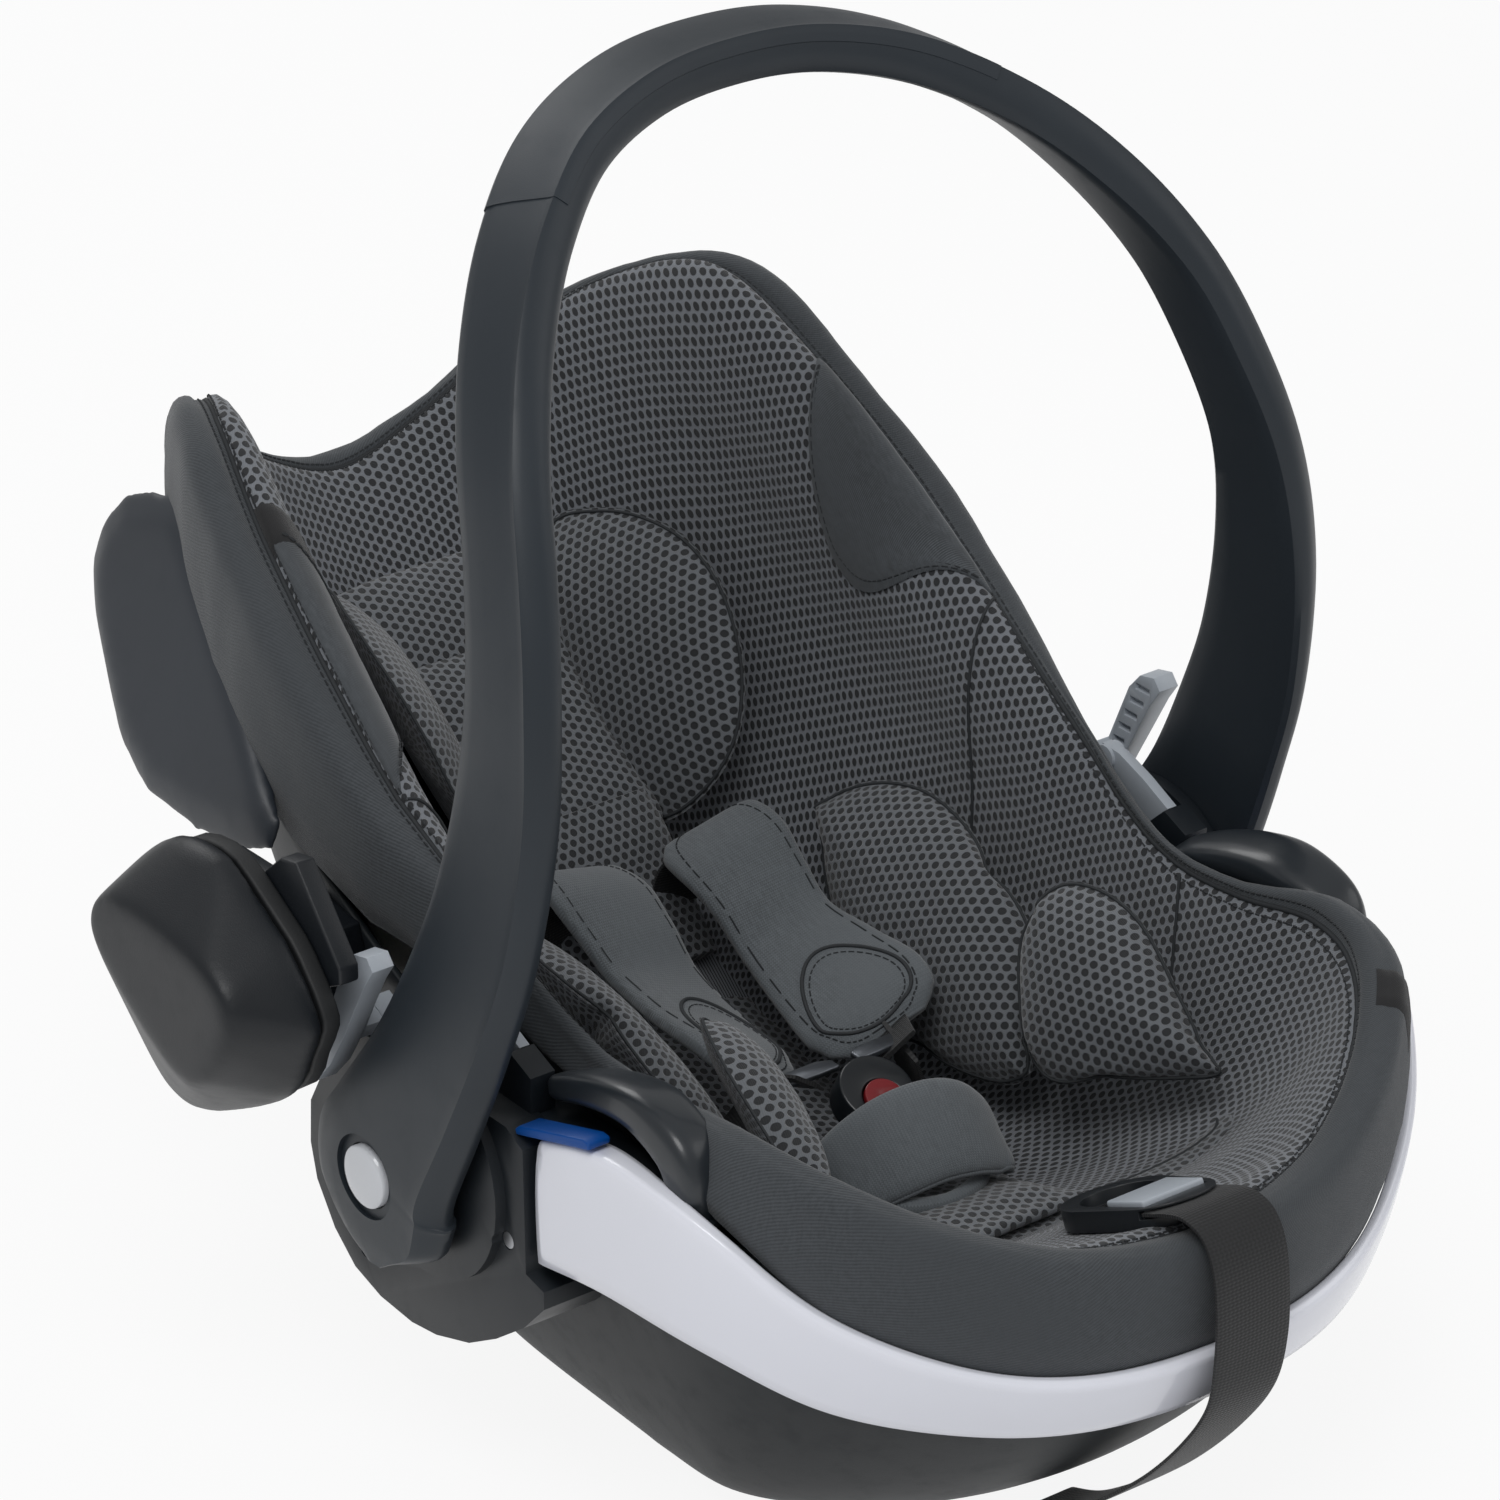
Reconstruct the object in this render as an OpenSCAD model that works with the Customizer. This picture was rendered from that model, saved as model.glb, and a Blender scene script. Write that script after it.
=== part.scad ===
// Infant car seat with a carry handle, a padded bowl and a three point harness.
// Millimetres. The feet end is at -Y, the head end at +Y and the floor at z = 0.
// The carry handle turns about a line along X over y = 0.

/* [Shell] */
// Half width of the padded rim beside the hubs
rim_half_w = 150; // [148:1:151]
// Wall of the moulded outer shell
shell_wall = 4; // [3:0.5:5]
// Thickness of the cover fabric with its wadding
cover_t = 6; // [5:1:7]
// Thickness of the energy absorbing foam
foam_t = 18; // [14:1:20]

/* [Base] */
// Height of the base tray that the seat rests on
tray_h = 11; // [10:0.5:12]
// Diameter of the steel lock bars
bar_d = 10; // [9:1:11]
// Distance of each lock bar from the hub line
bar_y = 72; // [68:1:75]

/* [Handle] */
// Height of the handle axis
hub_z = 143; // [142:1:145]
// Place of the handle axis along Y
hub_y = 4; // [3:1:5]
// Inner face of the handle ends, from the middle
arm_in_x = 198; // [198:0.5:199]
// Thickness of the handle ends
arm_t = 18; // [18:0.5:19]
// Radius of the handle ends
arm_r = 42; // [40:1:44]
// Diameter of the pivot pins
pin_d = 16; // [14:1:18]
// Radial running fit of the handle on its pins
pin_fit = 0.05; // [0.03:0.01:0.08]
// Diameter of the round handle buttons
button_d = 28; // [26:1:29]
// How far a handle button sinks
button_travel = 3.5; // [3:0.5:3.5]

/* [Harness] */
// Width of the harness webbing
web_w = 38; // [34:1:40]
// Thickness of the webbing
web_t = 2; // [1.5:0.5:2.5]

/* [Hidden] */
$fn = 48;

rings_n = 60; // samples round the rim
half_n = rings_n / 2;
spine_k = 0.45; // how far along Y the middle line of the bowl reaches, as a share of the rim

// Rim of the padded bowl from the middle of the front, round the +X side, to the head end
RIM_SIDE = [[0, -266, 166], [60, -256, 171], [108, -232, 188], [142, -198, 207],
  [rim_half_w + 3, -160, 213], [rim_half_w - 3, -110, 204], [rim_half_w - 2, -60, 205], [152, 0, 234],
  [152, 60, 270], [148, 115, 310], [140, 168, 346], [127, 218, 375], [107, 262, 363],
  [81, 299, 333], [44, 317, 301], [0, 322, 284]];
// Top edge of the outer shell, on the same stations
EDGE_SIDE = [[0, -276, 118], [58, -268, 119], [106, -247, 129], [150, -212, 152],
  [175, -170, 178], [176, -115, 181], [174, -60, 181], [172, 0, 186],
  [171, 60, 210], [168, 115, 236], [159, 170, 260], [141, 220, 276], [117, 266, 278],
  [86, 303, 268], [46, 327, 256], [0, 336, 250]];
// Height of the bowl's middle line along Y
FLOOR = [[-330, 175], [-250, 162], [-200, 140], [-150, 108], [-90, 82], [-40, 74], [10, 76],
  [60, 92], [130, 126], [200, 172], [260, 222], [310, 270], [360, 306]];

// How far the padded rim rolls outwards at each station: it is tight where the belt hooks are
ROLL_SIDE = [1, 1, 1, 0.8, 0.15, 0.05, 0.08, 0.3, 0.8, 1, 1, 1, 1, 1, 1, 1];

function mirrored(side) = let (last = len(side) - 1)
  concat(side, [for (i = [last - 1:-1:1]) [-side[i][0], side[i][1], side[i][2]]]);
function spline(a, b, c, d, u) =
  0.5 * (2 * b + (c - a) * u + (2 * a - 5 * b + 4 * c - d) * u * u
  + (3 * b - a - 3 * c + d) * u * u * u);
function on_loop(line, t) = let (n = len(line), i = floor(t))
  spline(line[(i - 1 + n) % n], line[i % n], line[(i + 1) % n], line[(i + 2) % n], t - i);
function on_path(path, t) = let (last = len(path) - 1, i = min(floor(t), last - 1))
  spline(path[max(i - 1, 0)], path[i], path[i + 1], path[min(i + 2, last)], t - i);
function unit(v) = v / norm(v);
function plan_normal(line, t) = let (n = len(line),
  d = on_loop(line, t + 0.3) - on_loop(line, t - 0.3 + n)) unit([d[1], -d[0], 0]);

RIM = mirrored(RIM_SIDE);
EDGE = mirrored(EDGE_SIDE);
RIM_P = [for (i = [0:rings_n - 1]) on_loop(RIM, i / 2)];
RIM_OUT = [for (i = [0:rings_n - 1]) plan_normal(RIM, i / 2)];
EDGE_P = [for (i = [0:rings_n - 1]) on_loop(EDGE, i / 2)];
EDGE_OUT = [for (i = [0:rings_n - 1]) plan_normal(EDGE, i / 2)];

function roll(i) = let (k = i / 2, m = k > 15 ? 30 - k : k) lookup(m, [for (j = [0:15]) [j, ROLL_SIDE[j]]]);
function floor_z(y) = lookup(y, FLOOR);
// A point of the bowl: share 0 is the middle line and 1 the rim
function bowl(i, share, grow, drop) = let (p = RIM_P[i] + grow * RIM_OUT[i],
    y = p[1] * (spine_k + (1 - spine_k) * share), base = floor_z(y) - drop)
  [p[0] * share, y, base + (p[2] - drop - floor_z(p[1]) + drop) * pow(share, 4.5)];
function bowl_ring(share, grow, drop) = [for (i = [0:rings_n - 1]) bowl(i, share, grow, drop)];
function rim_ring(grow, drop) =
  [for (i = [0:rings_n - 1]) RIM_P[i] + grow * RIM_OUT[i] - [0, 0, drop]];
function edge_ring(grow, rise) =
  [for (i = [0:rings_n - 1]) EDGE_P[i] + grow * EDGE_OUT[i] + [0, 0, rise]];
// The rim line pushed outwards by its roll
function roll_ring(grow, drop) =
  [for (i = [0:rings_n - 1]) RIM_P[i] + (grow * roll(i) + 0.5) * RIM_OUT[i] - [0, 0, drop]];
// The hem under the roll: on the shell's edge, or tucked in beside the belt hooks
function hem_ring(grow) = let (e = edge_ring(grow, 2), r = rim_ring(3 + grow, 12))
  [for (i = [0:rings_n - 1]) e[i] * roll(i) + r[i] * (1 - roll(i))];
function mix(a, b, u) = [for (i = [0:len(a) - 1]) a[i] * (1 - u) + b[i] * u];

// Footprint of the shell on the floor
function foot(i, scale, z) = let (e = EDGE_P[i])
  [e[0] * 0.6 * scale, e[1] * (e[1] < 0 ? 0.53 : 0.36) * scale, z];
function foot_ring(scale, z) = [for (i = [0:rings_n - 1]) foot(i, scale, z)];
// The shell's outer surface between the footprint and its top edge, grown outwards
function hull_pt(i, u, grow) = let (e = EDGE_P[i], f = foot(i, 1, 0), p = f + (e - f) * u)
  [p[0], p[1], 2 + (e[2] - 2) * pow(u, 1.85)] + grow * EDGE_OUT[i];
function hull_ring(u, grow) = [for (i = [0:rings_n - 1]) hull_pt(i, u, grow)];

// A closed skin through rings, shut at both ends by strips that run across from side to side
module skin(rings) {
  m = len(rings);
  walls = [for (r = [0:m - 2], i = [0:rings_n - 1]) let (j = (i + 1) % rings_n)
    [r * rings_n + i, r * rings_n + j, (r + 1) * rings_n + j, (r + 1) * rings_n + i]];
  first = [for (i = [0:half_n - 1]) i == 0 ? [0, rings_n - 1, 1]
    : i == half_n - 1 ? [i, half_n + 1, half_n] : [i, rings_n - i, rings_n - i - 1, i + 1]];
  last = [for (f = first) [for (k = [len(f) - 1:-1:0]) f[k] + (m - 1) * rings_n]];
  polyhedron([for (r = rings) each r], concat(walls, first, last), convexity = 8);
}

// A bar through closed sections, with flat ends
module loft(sections) {
  m = len(sections);
  n = len(sections[0]);
  walls = [for (s = [0:m - 2], i = [0:n - 1]) let (j = (i + 1) % n)
    [s * n + i, (s + 1) * n + i, (s + 1) * n + j, s * n + j]];
  ends = [[for (i = [0:n - 1]) i], [for (i = [n - 1:-1:0]) (m - 1) * n + i]];
  polyhedron([for (s = sections) each s], concat(walls, ends), convexity = 8);
}

// A rounded section across a path: w along the side axis and h along the thickness axis
function oval(n, power) = [for (k = [0:n - 1]) let (a = 360 * (k + 0.5) / n, c = cos(a), s = sin(a))
  [sign(c) * pow(abs(c), 2 / power), sign(s) * pow(abs(s), 2 / power)]];
function swept(path, widths, side, samples, n, power) = let (last = len(path) - 1)
  [for (k = [0:samples]) let (t = k * last / samples, p = on_path(path, t),
    d = unit(on_path(path, min(t + 0.1, last)) - on_path(path, max(t - 0.1, 0))),
    a = unit(side - (side * d) * d), b = cross(d, a), w = on_path(widths, t))
    [for (q = oval(n, power)) p + a * q[0] * w[0] / 2 + b * q[1] * w[1] / 2]];

module both_sides() {
  children();
  mirror([1, 0, 0]) children();
}
// The same part on the left (-1) or on the right (1)
module on_side(side) {
  mirror([side < 0 ? 1 : 0, 0, 0]) children();
}
module along_x(x0, x1, r) {
  translate([x0, 0, 0]) rotate([0, 90, 0]) cylinder(h = x1 - x0, r = r);
}
// A plate with its outline in Y and Z, between two places along X
module plate_x(x0, x1, outline) {
  translate([x0, 0, 0]) rotate([90, 0, 90]) linear_extrude(x1 - x0) polygon(outline);
}
function round_outline(points, per) = [for (i = [0:len(points) * per - 1]) on_loop(points, i / per)];

// ---- Shell, foam, cover and base ----
module outer_shell() {
  w = shell_wall;
  color("#2b2f33") {
    skin([foot_ring(0.8, 26 + w), foot_ring(0.98, 26 + w), hull_ring(0.36, -w), hull_ring(0.6, -w),
      hull_ring(0.86, -w), hull_ring(1, -w), hull_ring(1, 0), hull_ring(0.86, 0), hull_ring(0.7, 0),
      hull_ring(0.5, 0), hull_ring(0.3, 0), hull_ring(0.12, 0), foot_ring(0.97, 1.5),
      foot_ring(0.86, 1.5), foot_ring(0.86, 26)]);
  }
}
module foam_liner() {
  a = cover_t + 2.2;
  b = a + foam_t;
  color("#e8e8e6") skin([bowl_ring(0.3, 0, a), bowl_ring(0.55, 0, a), bowl_ring(0.75, cover_t - 1, a),
    bowl_ring(0.87, cover_t + 1, a), bowl_ring(0.87, cover_t + 7, b), bowl_ring(0.75, cover_t + 4, b),
    bowl_ring(0.5, 0, b), bowl_ring(0.3, 0, b)]);
}
module seat_cover() {
  t = cover_t;
  color("#4a4c4f") skin([bowl_ring(0.3, 0, 0), bowl_ring(0.52, 0, 0), bowl_ring(0.7, 0, 0),
    bowl_ring(0.83, 0, 0), bowl_ring(0.92, 0, 0), rim_ring(-2, 1), roll_ring(6, -1),
    roll_ring(12, 4), mix(roll_ring(14, 8), hem_ring(2), 0.5), hem_ring(0), hem_ring(-t),
    mix(roll_ring(14 - t, 9), hem_ring(2 - t), 0.4), rim_ring(1, 5 + t), bowl_ring(0.94, t - 1, t),
    bowl_ring(0.87, t - 1, t), bowl_ring(0.75, t - 2, t), bowl_ring(0.55, 0, t), bowl_ring(0.3, 0, t)]);
}
module base_tray() {
  color("#26292c") difference() {
    linear_extrude(tray_h) polygon([for (p = foot_ring(0.84, 0)) [p[0], p[1]]]);
    for (x = [-46, 46], y = [-30, 30]) translate([x, y, -1]) {
      cylinder(h = tray_h + 2, r = 2);
      cylinder(h = tray_h - 3.7, r = 4.2);
    }
    for (y = [-bar_y, bar_y]) {
      translate([-26, y - bar_d / 2 - 8, -1]) cube([52, bar_d + 16, tray_h + 2]);
      translate([-34, y, tray_h - bar_d / 2]) rotate([0, 90, 0]) cylinder(h = 68, d = bar_d + 0.1);
    }
  }
}
module lock_bar(y) {
  color("#b9bcc0") translate([-33, y, tray_h - bar_d / 2]) rotate([0, 90, 0])
    cylinder(h = 66, d = bar_d);
}

// ---- Front trim, hub housings, belt path ----
// Per rim station: outward reach and height of the trim's top and bottom edges from the shell edge
TRIM_SIDE = [[6, 2, -2, -24], [6, 2, -2, -25], [6, 2, -2, -30], [7, 3, -1, -42], [8, 9, 4, -49],
  [13, 14, 12, -47], [15, 0, 15, -53]];
trim_end = 5.7;
trim_t = 3.5;
function trim_section(t) = let (a = abs(t), k = on_path(TRIM_SIDE, a),
    e = on_loop(EDGE, a), n = plan_normal(EDGE, a), m = [t < 0 ? -1 : 1, 1, 1])
  [for (q = [[0.8, k[1] + 1], [k[0] - 2, k[1] + 1], [k[0], k[1] - 1.5],
      [(k[0] + k[2]) / 2 + 1.5, (k[1] + k[3]) / 2], [k[2], k[3]], [k[2] - trim_t, k[3]],
      [(k[0] + k[2]) / 2 - 2, (k[1] + k[3]) / 2], [k[0] - trim_t - 0.5, k[1] - trim_t],
      [0.8, k[1] - trim_t]])
    let (p = e + q[0] * n + [0, 0, q[1]]) [p[0] * m[0], p[1], p[2]]];
module front_trim() {
  color("#e9e8f0") loft([for (k = [-24:24]) trim_section(k / 24 * trim_end)]);
}

housing_x0 = 150;
housing_x1 = arm_in_x - 1;
// The housing's outline: a drum round the handle axis with a fairing that runs up to the trim
HOUSING = [[62, 84], [48, 72], [30, 66], [8, 64], [-9, 66], [-32, 73], [-51, 84], [-70, 98], [-84, 113],
  [-84, 121], [-72, 124], [-71, 180], [-60, 186], [20, 188], [50, 184], [64, 162], [77, 138], [78, 118],
  [74, 102]];
drum_y = -8; // middle of the housing's drum
lever_x0 = 201.5;
lever_x1 = 212;
lever_tilt = 27.6; // lean of the lever's slide from upright, towards the feet
stem_x0 = 180; // the lever's stem runs inside the housing, nearer the middle than its plate
stem_w = 10;
LEVER = [[44, 168], [49, 168], [39, 190], [29, 212], [21, 231], [14, 239], [5, 241], [1, 236], [6.6, 228],
  [15.2, 212], [21.2, 200], [27.2, 190], [33.2, 180]];
module shell_solid(grow) {
  skin([[for (p = hull_ring(1, grow)) p + [0, 0, 30]], hull_ring(1, grow), hull_ring(0.86, grow),
    hull_ring(0.7, grow), hull_ring(0.5, grow), hull_ring(0.3, grow), hull_ring(0.12, grow),
    foot_ring(0.9, -6)]);
}
// Along the release lever's slide: across, then up from the lowest place of its path
module on_lever_slide(x) {
  translate([x, 42, 176]) rotate([lever_tilt, 0, 0]) children();
}
// The stem of the release lever along its slide, with a gap all round
module lever_stem(gap, down) {
  on_lever_slide(stem_x0 - gap) translate([0, -7 - gap, -down])
    cube([stem_w + 2 * gap, 14 + 2 * gap, down + 27]);
}
module hub_housing() {
  color("#2a2e33") difference() {
    union() {
      plate_x(housing_x0, housing_x1 - 5, HOUSING);
      translate([0, drum_y, hub_z + 6]) along_x(housing_x1 - 6, housing_x1, arm_r + 9);
    }
    shell_solid(0.4);
    translate([0, hub_y, hub_z]) along_x(housing_x0 - 1, housing_x1 + 1, pin_d / 2);
    translate([0, hub_y, hub_z]) along_x(housing_x1 + 0.01, lever_x1 + 10, arm_r + 1.5);
    lever_stem(0.4, 44);
    translate([0, -60, 134]) along_x(housing_x1 - 17, housing_x1 + 1, 2);
    translate([0, 40, 84]) along_x(housing_x1 - 17, housing_x1 + 1, 2);
    translate([0, -60, 134]) along_x(housing_x1 - 8, housing_x1 + 1, 4);
    translate([0, 40, 84]) along_x(housing_x1 - 8, housing_x1 + 1, 4);
  }
  color("#2a2e33") mount_block();
}
// The block beside the hook that carries the canopy mount
module mount_block() {
  plate_x(166, 178, [[-58, 185.4], [-28, 185.4], [-29, 194], [-44, 208], [-58, 202]]);
}
module housing_screws() {
  color("#8d9196") both_sides() for (p = [[-60, 134], [40, 84]]) translate([0, p[0], p[1]]) {
    along_x(housing_x1 - 16, housing_x1 - 8, 1.95);
    along_x(housing_x1 - 8, housing_x1 - 5.4, 3.6);
  }
}
// A smooth horn that holds the lap belt down, with a gap under its free end
HOOK = [[168, -153, 182.4], [168, -152, 196], [168, -145, 206], [166, -124, 212], [165, -103, 210],
  [164, -82, 204], [163, -62, 196]];
HOOK_W = [[16, 18], [17, 19], [18, 19], [21, 17], [20, 15], [19, 13], [15, 9]];
module belt_hook() {
  color("#23272b") {
    loft(swept(HOOK, HOOK_W, [1, 0, 0.2], 14, 12, 2.8));
    loft(swept([[167, -166, 181], [166, -120, 183.6], [165, -70, 183.6], [164, -24, 184]],
      [[14, 2.4], [18, 2.4], [17, 2.4], [16, 2.4]], [1, 0, 0], 6, 8, 4));
  }
}
module belt_guide() {
  color("#1d62b5") plate_x(179, 190, [[-64, 183.6], [-112, 197.6], [-112, 200.5], [-108, 201],
    [-66, 188.5], [-63, 186]]);
}
// ---- Side panels and the parts on the shell's sides and back ----
// Outline of a side panel in its own plane, which leans in towards the top: along Y, then up from its foot
PANEL = [[228, 129], [248, 124], [267, 116], [277, 100], [276, 82], [264, 63], [250, 51], [236, 33],
  [223, 20], [198, 7], [159, 4], [128, 7], [109, 14], [109, 27], [129, 46], [147, 62], [169, 76],
  [204, 103]];
PANEL_FOOT = [191, 225]; // X and Z of the panel's outer face at the foot of its plane
panel_lean = 21.8;
// Places along Y and Z of the bosses that carry the panel
PANEL_BOSSES = [[148, 243], [189, 253]];
function panel_x(z) = PANEL_FOOT[0] - (z - PANEL_FOOT[1]) * tan(panel_lean);
module side_panel() {
  color("#25292d") translate([PANEL_FOOT[0], 0, PANEL_FOOT[1]]) rotate([0, -panel_lean, 0]) hull() {
    plate_x(-2, 0, PANEL);
    plate_x(5, 6, [for (p = PANEL) [190 + (p[0] - 190) * 0.84, 64 + (p[1] - 64) * 0.8]]);
  }
  color("#25292d") difference() {
    for (p = PANEL_BOSSES) translate([0, p[0], p[1]]) along_x(130, panel_x(p[1]) - 2, 7);
    shell_solid(0.02);
  }
}
module release_lever() {
  color("#c9cbd4") difference() {
    union() {
      plate_x(lever_x0, lever_x1, LEVER);
      lever_stem(0, 26);
      on_lever_slide(stem_x0 + 2) translate([0, -5, 18.5]) cube([lever_x0 - stem_x0, 10, 8]);
    }
    for (k = [1:5]) translate([lever_x0 - 1, 27 - 3.9 * k, 194 + 7.5 * k])
      cube([4, 7 + 0.5 * k, 3.2]);
  }
}
module lever_spring() {
  color("#9ba0a6") on_lever_slide(stem_x0 + stem_w / 2) translate([0, 0, -43.4])
    difference() {
      cylinder(h = 16.5, r = 3.4);
      translate([0, 0, -1]) cylinder(h = 19, r = 2.4);
    }
}
module canopy_mount() {
  color("#c3c5cd") {
    plate_x(168, 173, [[-44, 208.3], [-29.2, 194.2], [-16, 206], [-4, 211], [0, 214], [-1, 223],
      [-12, 222], [-28, 216]]);
    translate([0, -4, 217.5]) along_x(166.5, 174.5, 5.5);
  }
}
module shoulder_belt_hook() {
  color("#1d62b5") difference() {
    plate_x(-46, 46, [[296, 193], [322, 238], [340, 238], [331, 217], [349, 229], [353, 223], [326, 195]]);
    shell_solid(0.02);
  }
}
// ---- Handle ----
// Outer line of one arm up to the top of the arch, and the width and thickness there
ARM = [[208, -6, 160], [206, -24, 196], [203, -42, 236], [200, -60, 280], [196, -70, 332],
  [191, -68, 379], [182, -55, 421], [170, -35, 460], [150, -11, 494], [122, 14, 523],
  [85, 38, 545], [43, 51, 557], [0, 55, 560]];
ARM_W = [[80, 15], [72, 15], [67, 15], [61, 15], [55, 16], [48, 17], [44, 18], [42, 18], [40, 19],
  [39, 19], [38, 20], [38, 20], [38, 20]];
ARCH = concat(ARM, [for (i = [len(ARM) - 2:-1:0]) [-ARM[i][0], ARM[i][1], ARM[i][2]]]);
ARCH_W = concat(ARM_W, [for (i = [len(ARM) - 2:-1:0]) ARM_W[i]]);
pocket_x = arm_in_x + 7.3; // floor of the button pocket in a handle end
module carry_handle() {
  color("#2c333c") difference() {
    union() {
      loft(swept(ARCH, ARCH_W, [0, 1, 0], 48, 12, 3.6));
      both_sides() translate([0, hub_y, hub_z]) along_x(arm_in_x, arm_in_x + arm_t, arm_r);
    }
    both_sides() translate([0, hub_y, hub_z]) {
      along_x(arm_in_x - 20, pocket_x + 1, pin_d / 2 + pin_fit);
      along_x(pocket_x, arm_in_x + arm_t + 20, button_d / 2 + 0.3);
    }
  }
}
// Where the grip cover starts and ends, in arch stations
grip_ends = [12 - 2.75, 12 + 2.75];
// A cover that lies on the crown of the arch
module handle_grip() {
  n = 18;
  color("#30373f") loft([for (k = [0:n]) let (t = grip_ends[0] + (grip_ends[1] - grip_ends[0]) * k / n,
    p = on_path(ARCH, t), d = unit(on_path(ARCH, t + 0.1) - on_path(ARCH, t - 0.1)),
    a = unit([0, 1, 0] - d[1] * d), b = cross(d, a), w = on_path(ARCH_W, t), s = b[2] > 0 ? 1 : -1)
    [for (q = [[-0.34, 0.62], [0.34, 0.62], [0.42, 0.56], [0.42, 0.51], [-0.42, 0.51], [-0.42, 0.56]])
      p + a * q[0] * w[0] + b * s * q[1] * w[1]]]);
}
module pivot_pin() {
  color("#b9bcc0") translate([0, hub_y, hub_z]) {
    along_x(housing_x0 + 30, pocket_x + 0.3, pin_d / 2 - 0.02);
    along_x(pocket_x + 0.2, pocket_x + 1.6, pin_d / 2 + 2.5);
  }
}
button_x = arm_in_x + arm_t + 2.5; // outer face of a handle button
button_back = pocket_x + 2 + button_travel; // its inner end, clear of the pin's head when pressed
module handle_button() {
  color("#d9dade") translate([0, hub_y, hub_z]) difference() {
    along_x(button_back, button_x, button_d / 2);
    along_x(button_back - 1, button_x - 3, 8.8);
  }
}
module button_spring() {
  color("#9ba0a6") translate([0, hub_y, hub_z]) difference() {
    along_x(pocket_x + 1.8, button_x - 7, 8.2);
    along_x(pocket_x + 1, button_x - 6, 6.6);
  }
}

// ---- Padded insert ----
// A bolster is a rounded lobe: middle, half length, half height and how it leans
module lobe(at, long, high, thick, lean) {
  translate(at) rotate([lean, 0, 0]) hull() {
    for (y = [-1, 1]) translate([0, y * (long - high * 0.8), 0]) scale([thick / high, 1, 1])
      sphere(r = high, $fn = 16);
  }
}
// The space in the bowl just above the cover, which trims the bolsters to lie against it
module bowl_space() {
  skin([[for (p = rim_ring(-3, 0)) p + [0, 0, 60]], rim_ring(-3, 0), bowl_ring(0.92, -1, -0.5),
    bowl_ring(0.83, -1, -0.5), bowl_ring(0.7, -1, -0.5), bowl_ring(0.52, -1, -0.5),
    bowl_ring(0.3, 0, -0.5)]);
}
module torso_bolster() {
  color("#55575a") intersection() {
    lobe([91, 25, 152], 61, 61, 31, 0);
    bowl_space();
  }
}
module hip_bolster() {
  color("#55575a") intersection() {
    lobe([95, -109, 155], 54, 50, 29, 0);
    bowl_space();
  }
}
SEAT = [[0, -152, 119], [0, -110, 100.5], [0, -70, 89.5], [0, -30, 84], [0, 10, 86], [0, 50, 98.5],
  [0, 82, 113]];
module seat_pad() {
  color("#55575a") loft(swept(SEAT, [[84, 10], [96, 13], [100, 13], [100, 13], [98, 13], [94, 13], [84, 10]],
    [1, 0, 0], 12, 12, 3));
}
head_axis = [0, cos(39), sin(39)]; // direction of the headrest's slide
module head_cushion() {
  color("#55575a") {
    for (x = [-64, 64]) lobe([x, 182, 235], 60, 43, 13, 39);
    hull() for (x = [-48, 48], y = [152, 222])
      translate([x, y, 138.5 + (y - 118) * 0.81]) sphere(r = 11, $fn = 16);
  }
}
module headrest_board() {
  color("#26292c") translate([0, 118, 119]) rotate([39, 0, 0]) translate([-50, 32, 0.4]) cube([100, 128, 2.6]);
}
// ---- Harness ----
SHOULDER = [[34, 106, 180], [35, 88, 189], [36, 62, 196], [35, 24, 190], [32, -14, 174], [27, -44, 154]];
module shoulder_pad() {
  color("#3f4144") loft(swept(SHOULDER, [[54, 9], [52, 10], [44, 10], [50, 10], [54, 10], [42, 8]],
    [1, 0, 0], 12, 12, 3));
}
module strap(path, w) {
  color("#1b1c1e") loft(swept(path, [for (p = path) [w, web_t]], [1, 0, 0], 2 * len(path), 8, 6));
}
// From the headrest over the shoulder, under the pad, and down to the buckle's tongue
HARNESS = [[34, 117, 142], [34, 113, 160], [34, 103, 172], [35, 86, 181.4], [36, 62, 188.6], [35, 24, 182.6],
  [32, -14, 165.8], [28, -36, 149], [24, -41, 140.5]];
module shoulder_strap() {
  color("#1b1c1e") loft(swept(HARNESS, [for (k = [0:8]) [k < 7 ? web_w - 4 : 20, web_t]],
    [1, 0, 0], 16, 8, 6));
}
module tongue() {
  color("#8d9196") hull() {
    translate([10, -36, 140]) cube([10, 6, 2.6], center = true);
    translate([20, -33, 139]) cube([20, 8, 2.6], center = true);
  }
}
module lap_strap() {
  color("#1b1c1e") loft(swept([[31, -34, 138], [41, -27, 121], [51, -20, 104], [61, -13, 87]],
    [[24, 2], [25, 2], [26, 2], [26, 2]], [0, 0.92, 0.38], 6, 8, 6));
}
buckle_at = [0, -62, 126];
buckle_tilt = 31;
module buckle() {
  color("#a4a7ad") translate(buckle_at) rotate([buckle_tilt, 0, 0]) difference() {
    hull() for (y = [-1, 1]) translate([0, y * 9, 0])
      cylinder(h = 14, r = y < 0 ? 12 : 17, center = true);
    translate([0, 4, 2]) cylinder(h = 10, r = 9.4);
  }
}
module buckle_button() {
  color("#c8262c") translate(buckle_at) rotate([buckle_tilt, 0, 0]) translate([0, 4, 5.4])
    difference() {
      cylinder(h = 3, r = 9);
      translate([0, 0, 12.4]) sphere(r = 10);
    }
}
// The crotch pad folds over the front of the buckle: middles of its upper and lower flaps' edges
CROTCH_PAD = [[[22, -80, 144], [25, -104, 123]], [[25, -104, 123], [17, -99, 111]]];
module crotch_pad() {
  color("#3f4144") for (ends = CROTCH_PAD) hull()
    for (p = ends, m = [-1, 1]) translate([m * p[0], p[1], p[2]]) sphere(r = 6.5, $fn = 16);
}
module crotch_strap() {
  strap([[0, -74, 109.4], [0, -73.5, 104], [0, -73, 98.3]], 28);
}
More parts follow.
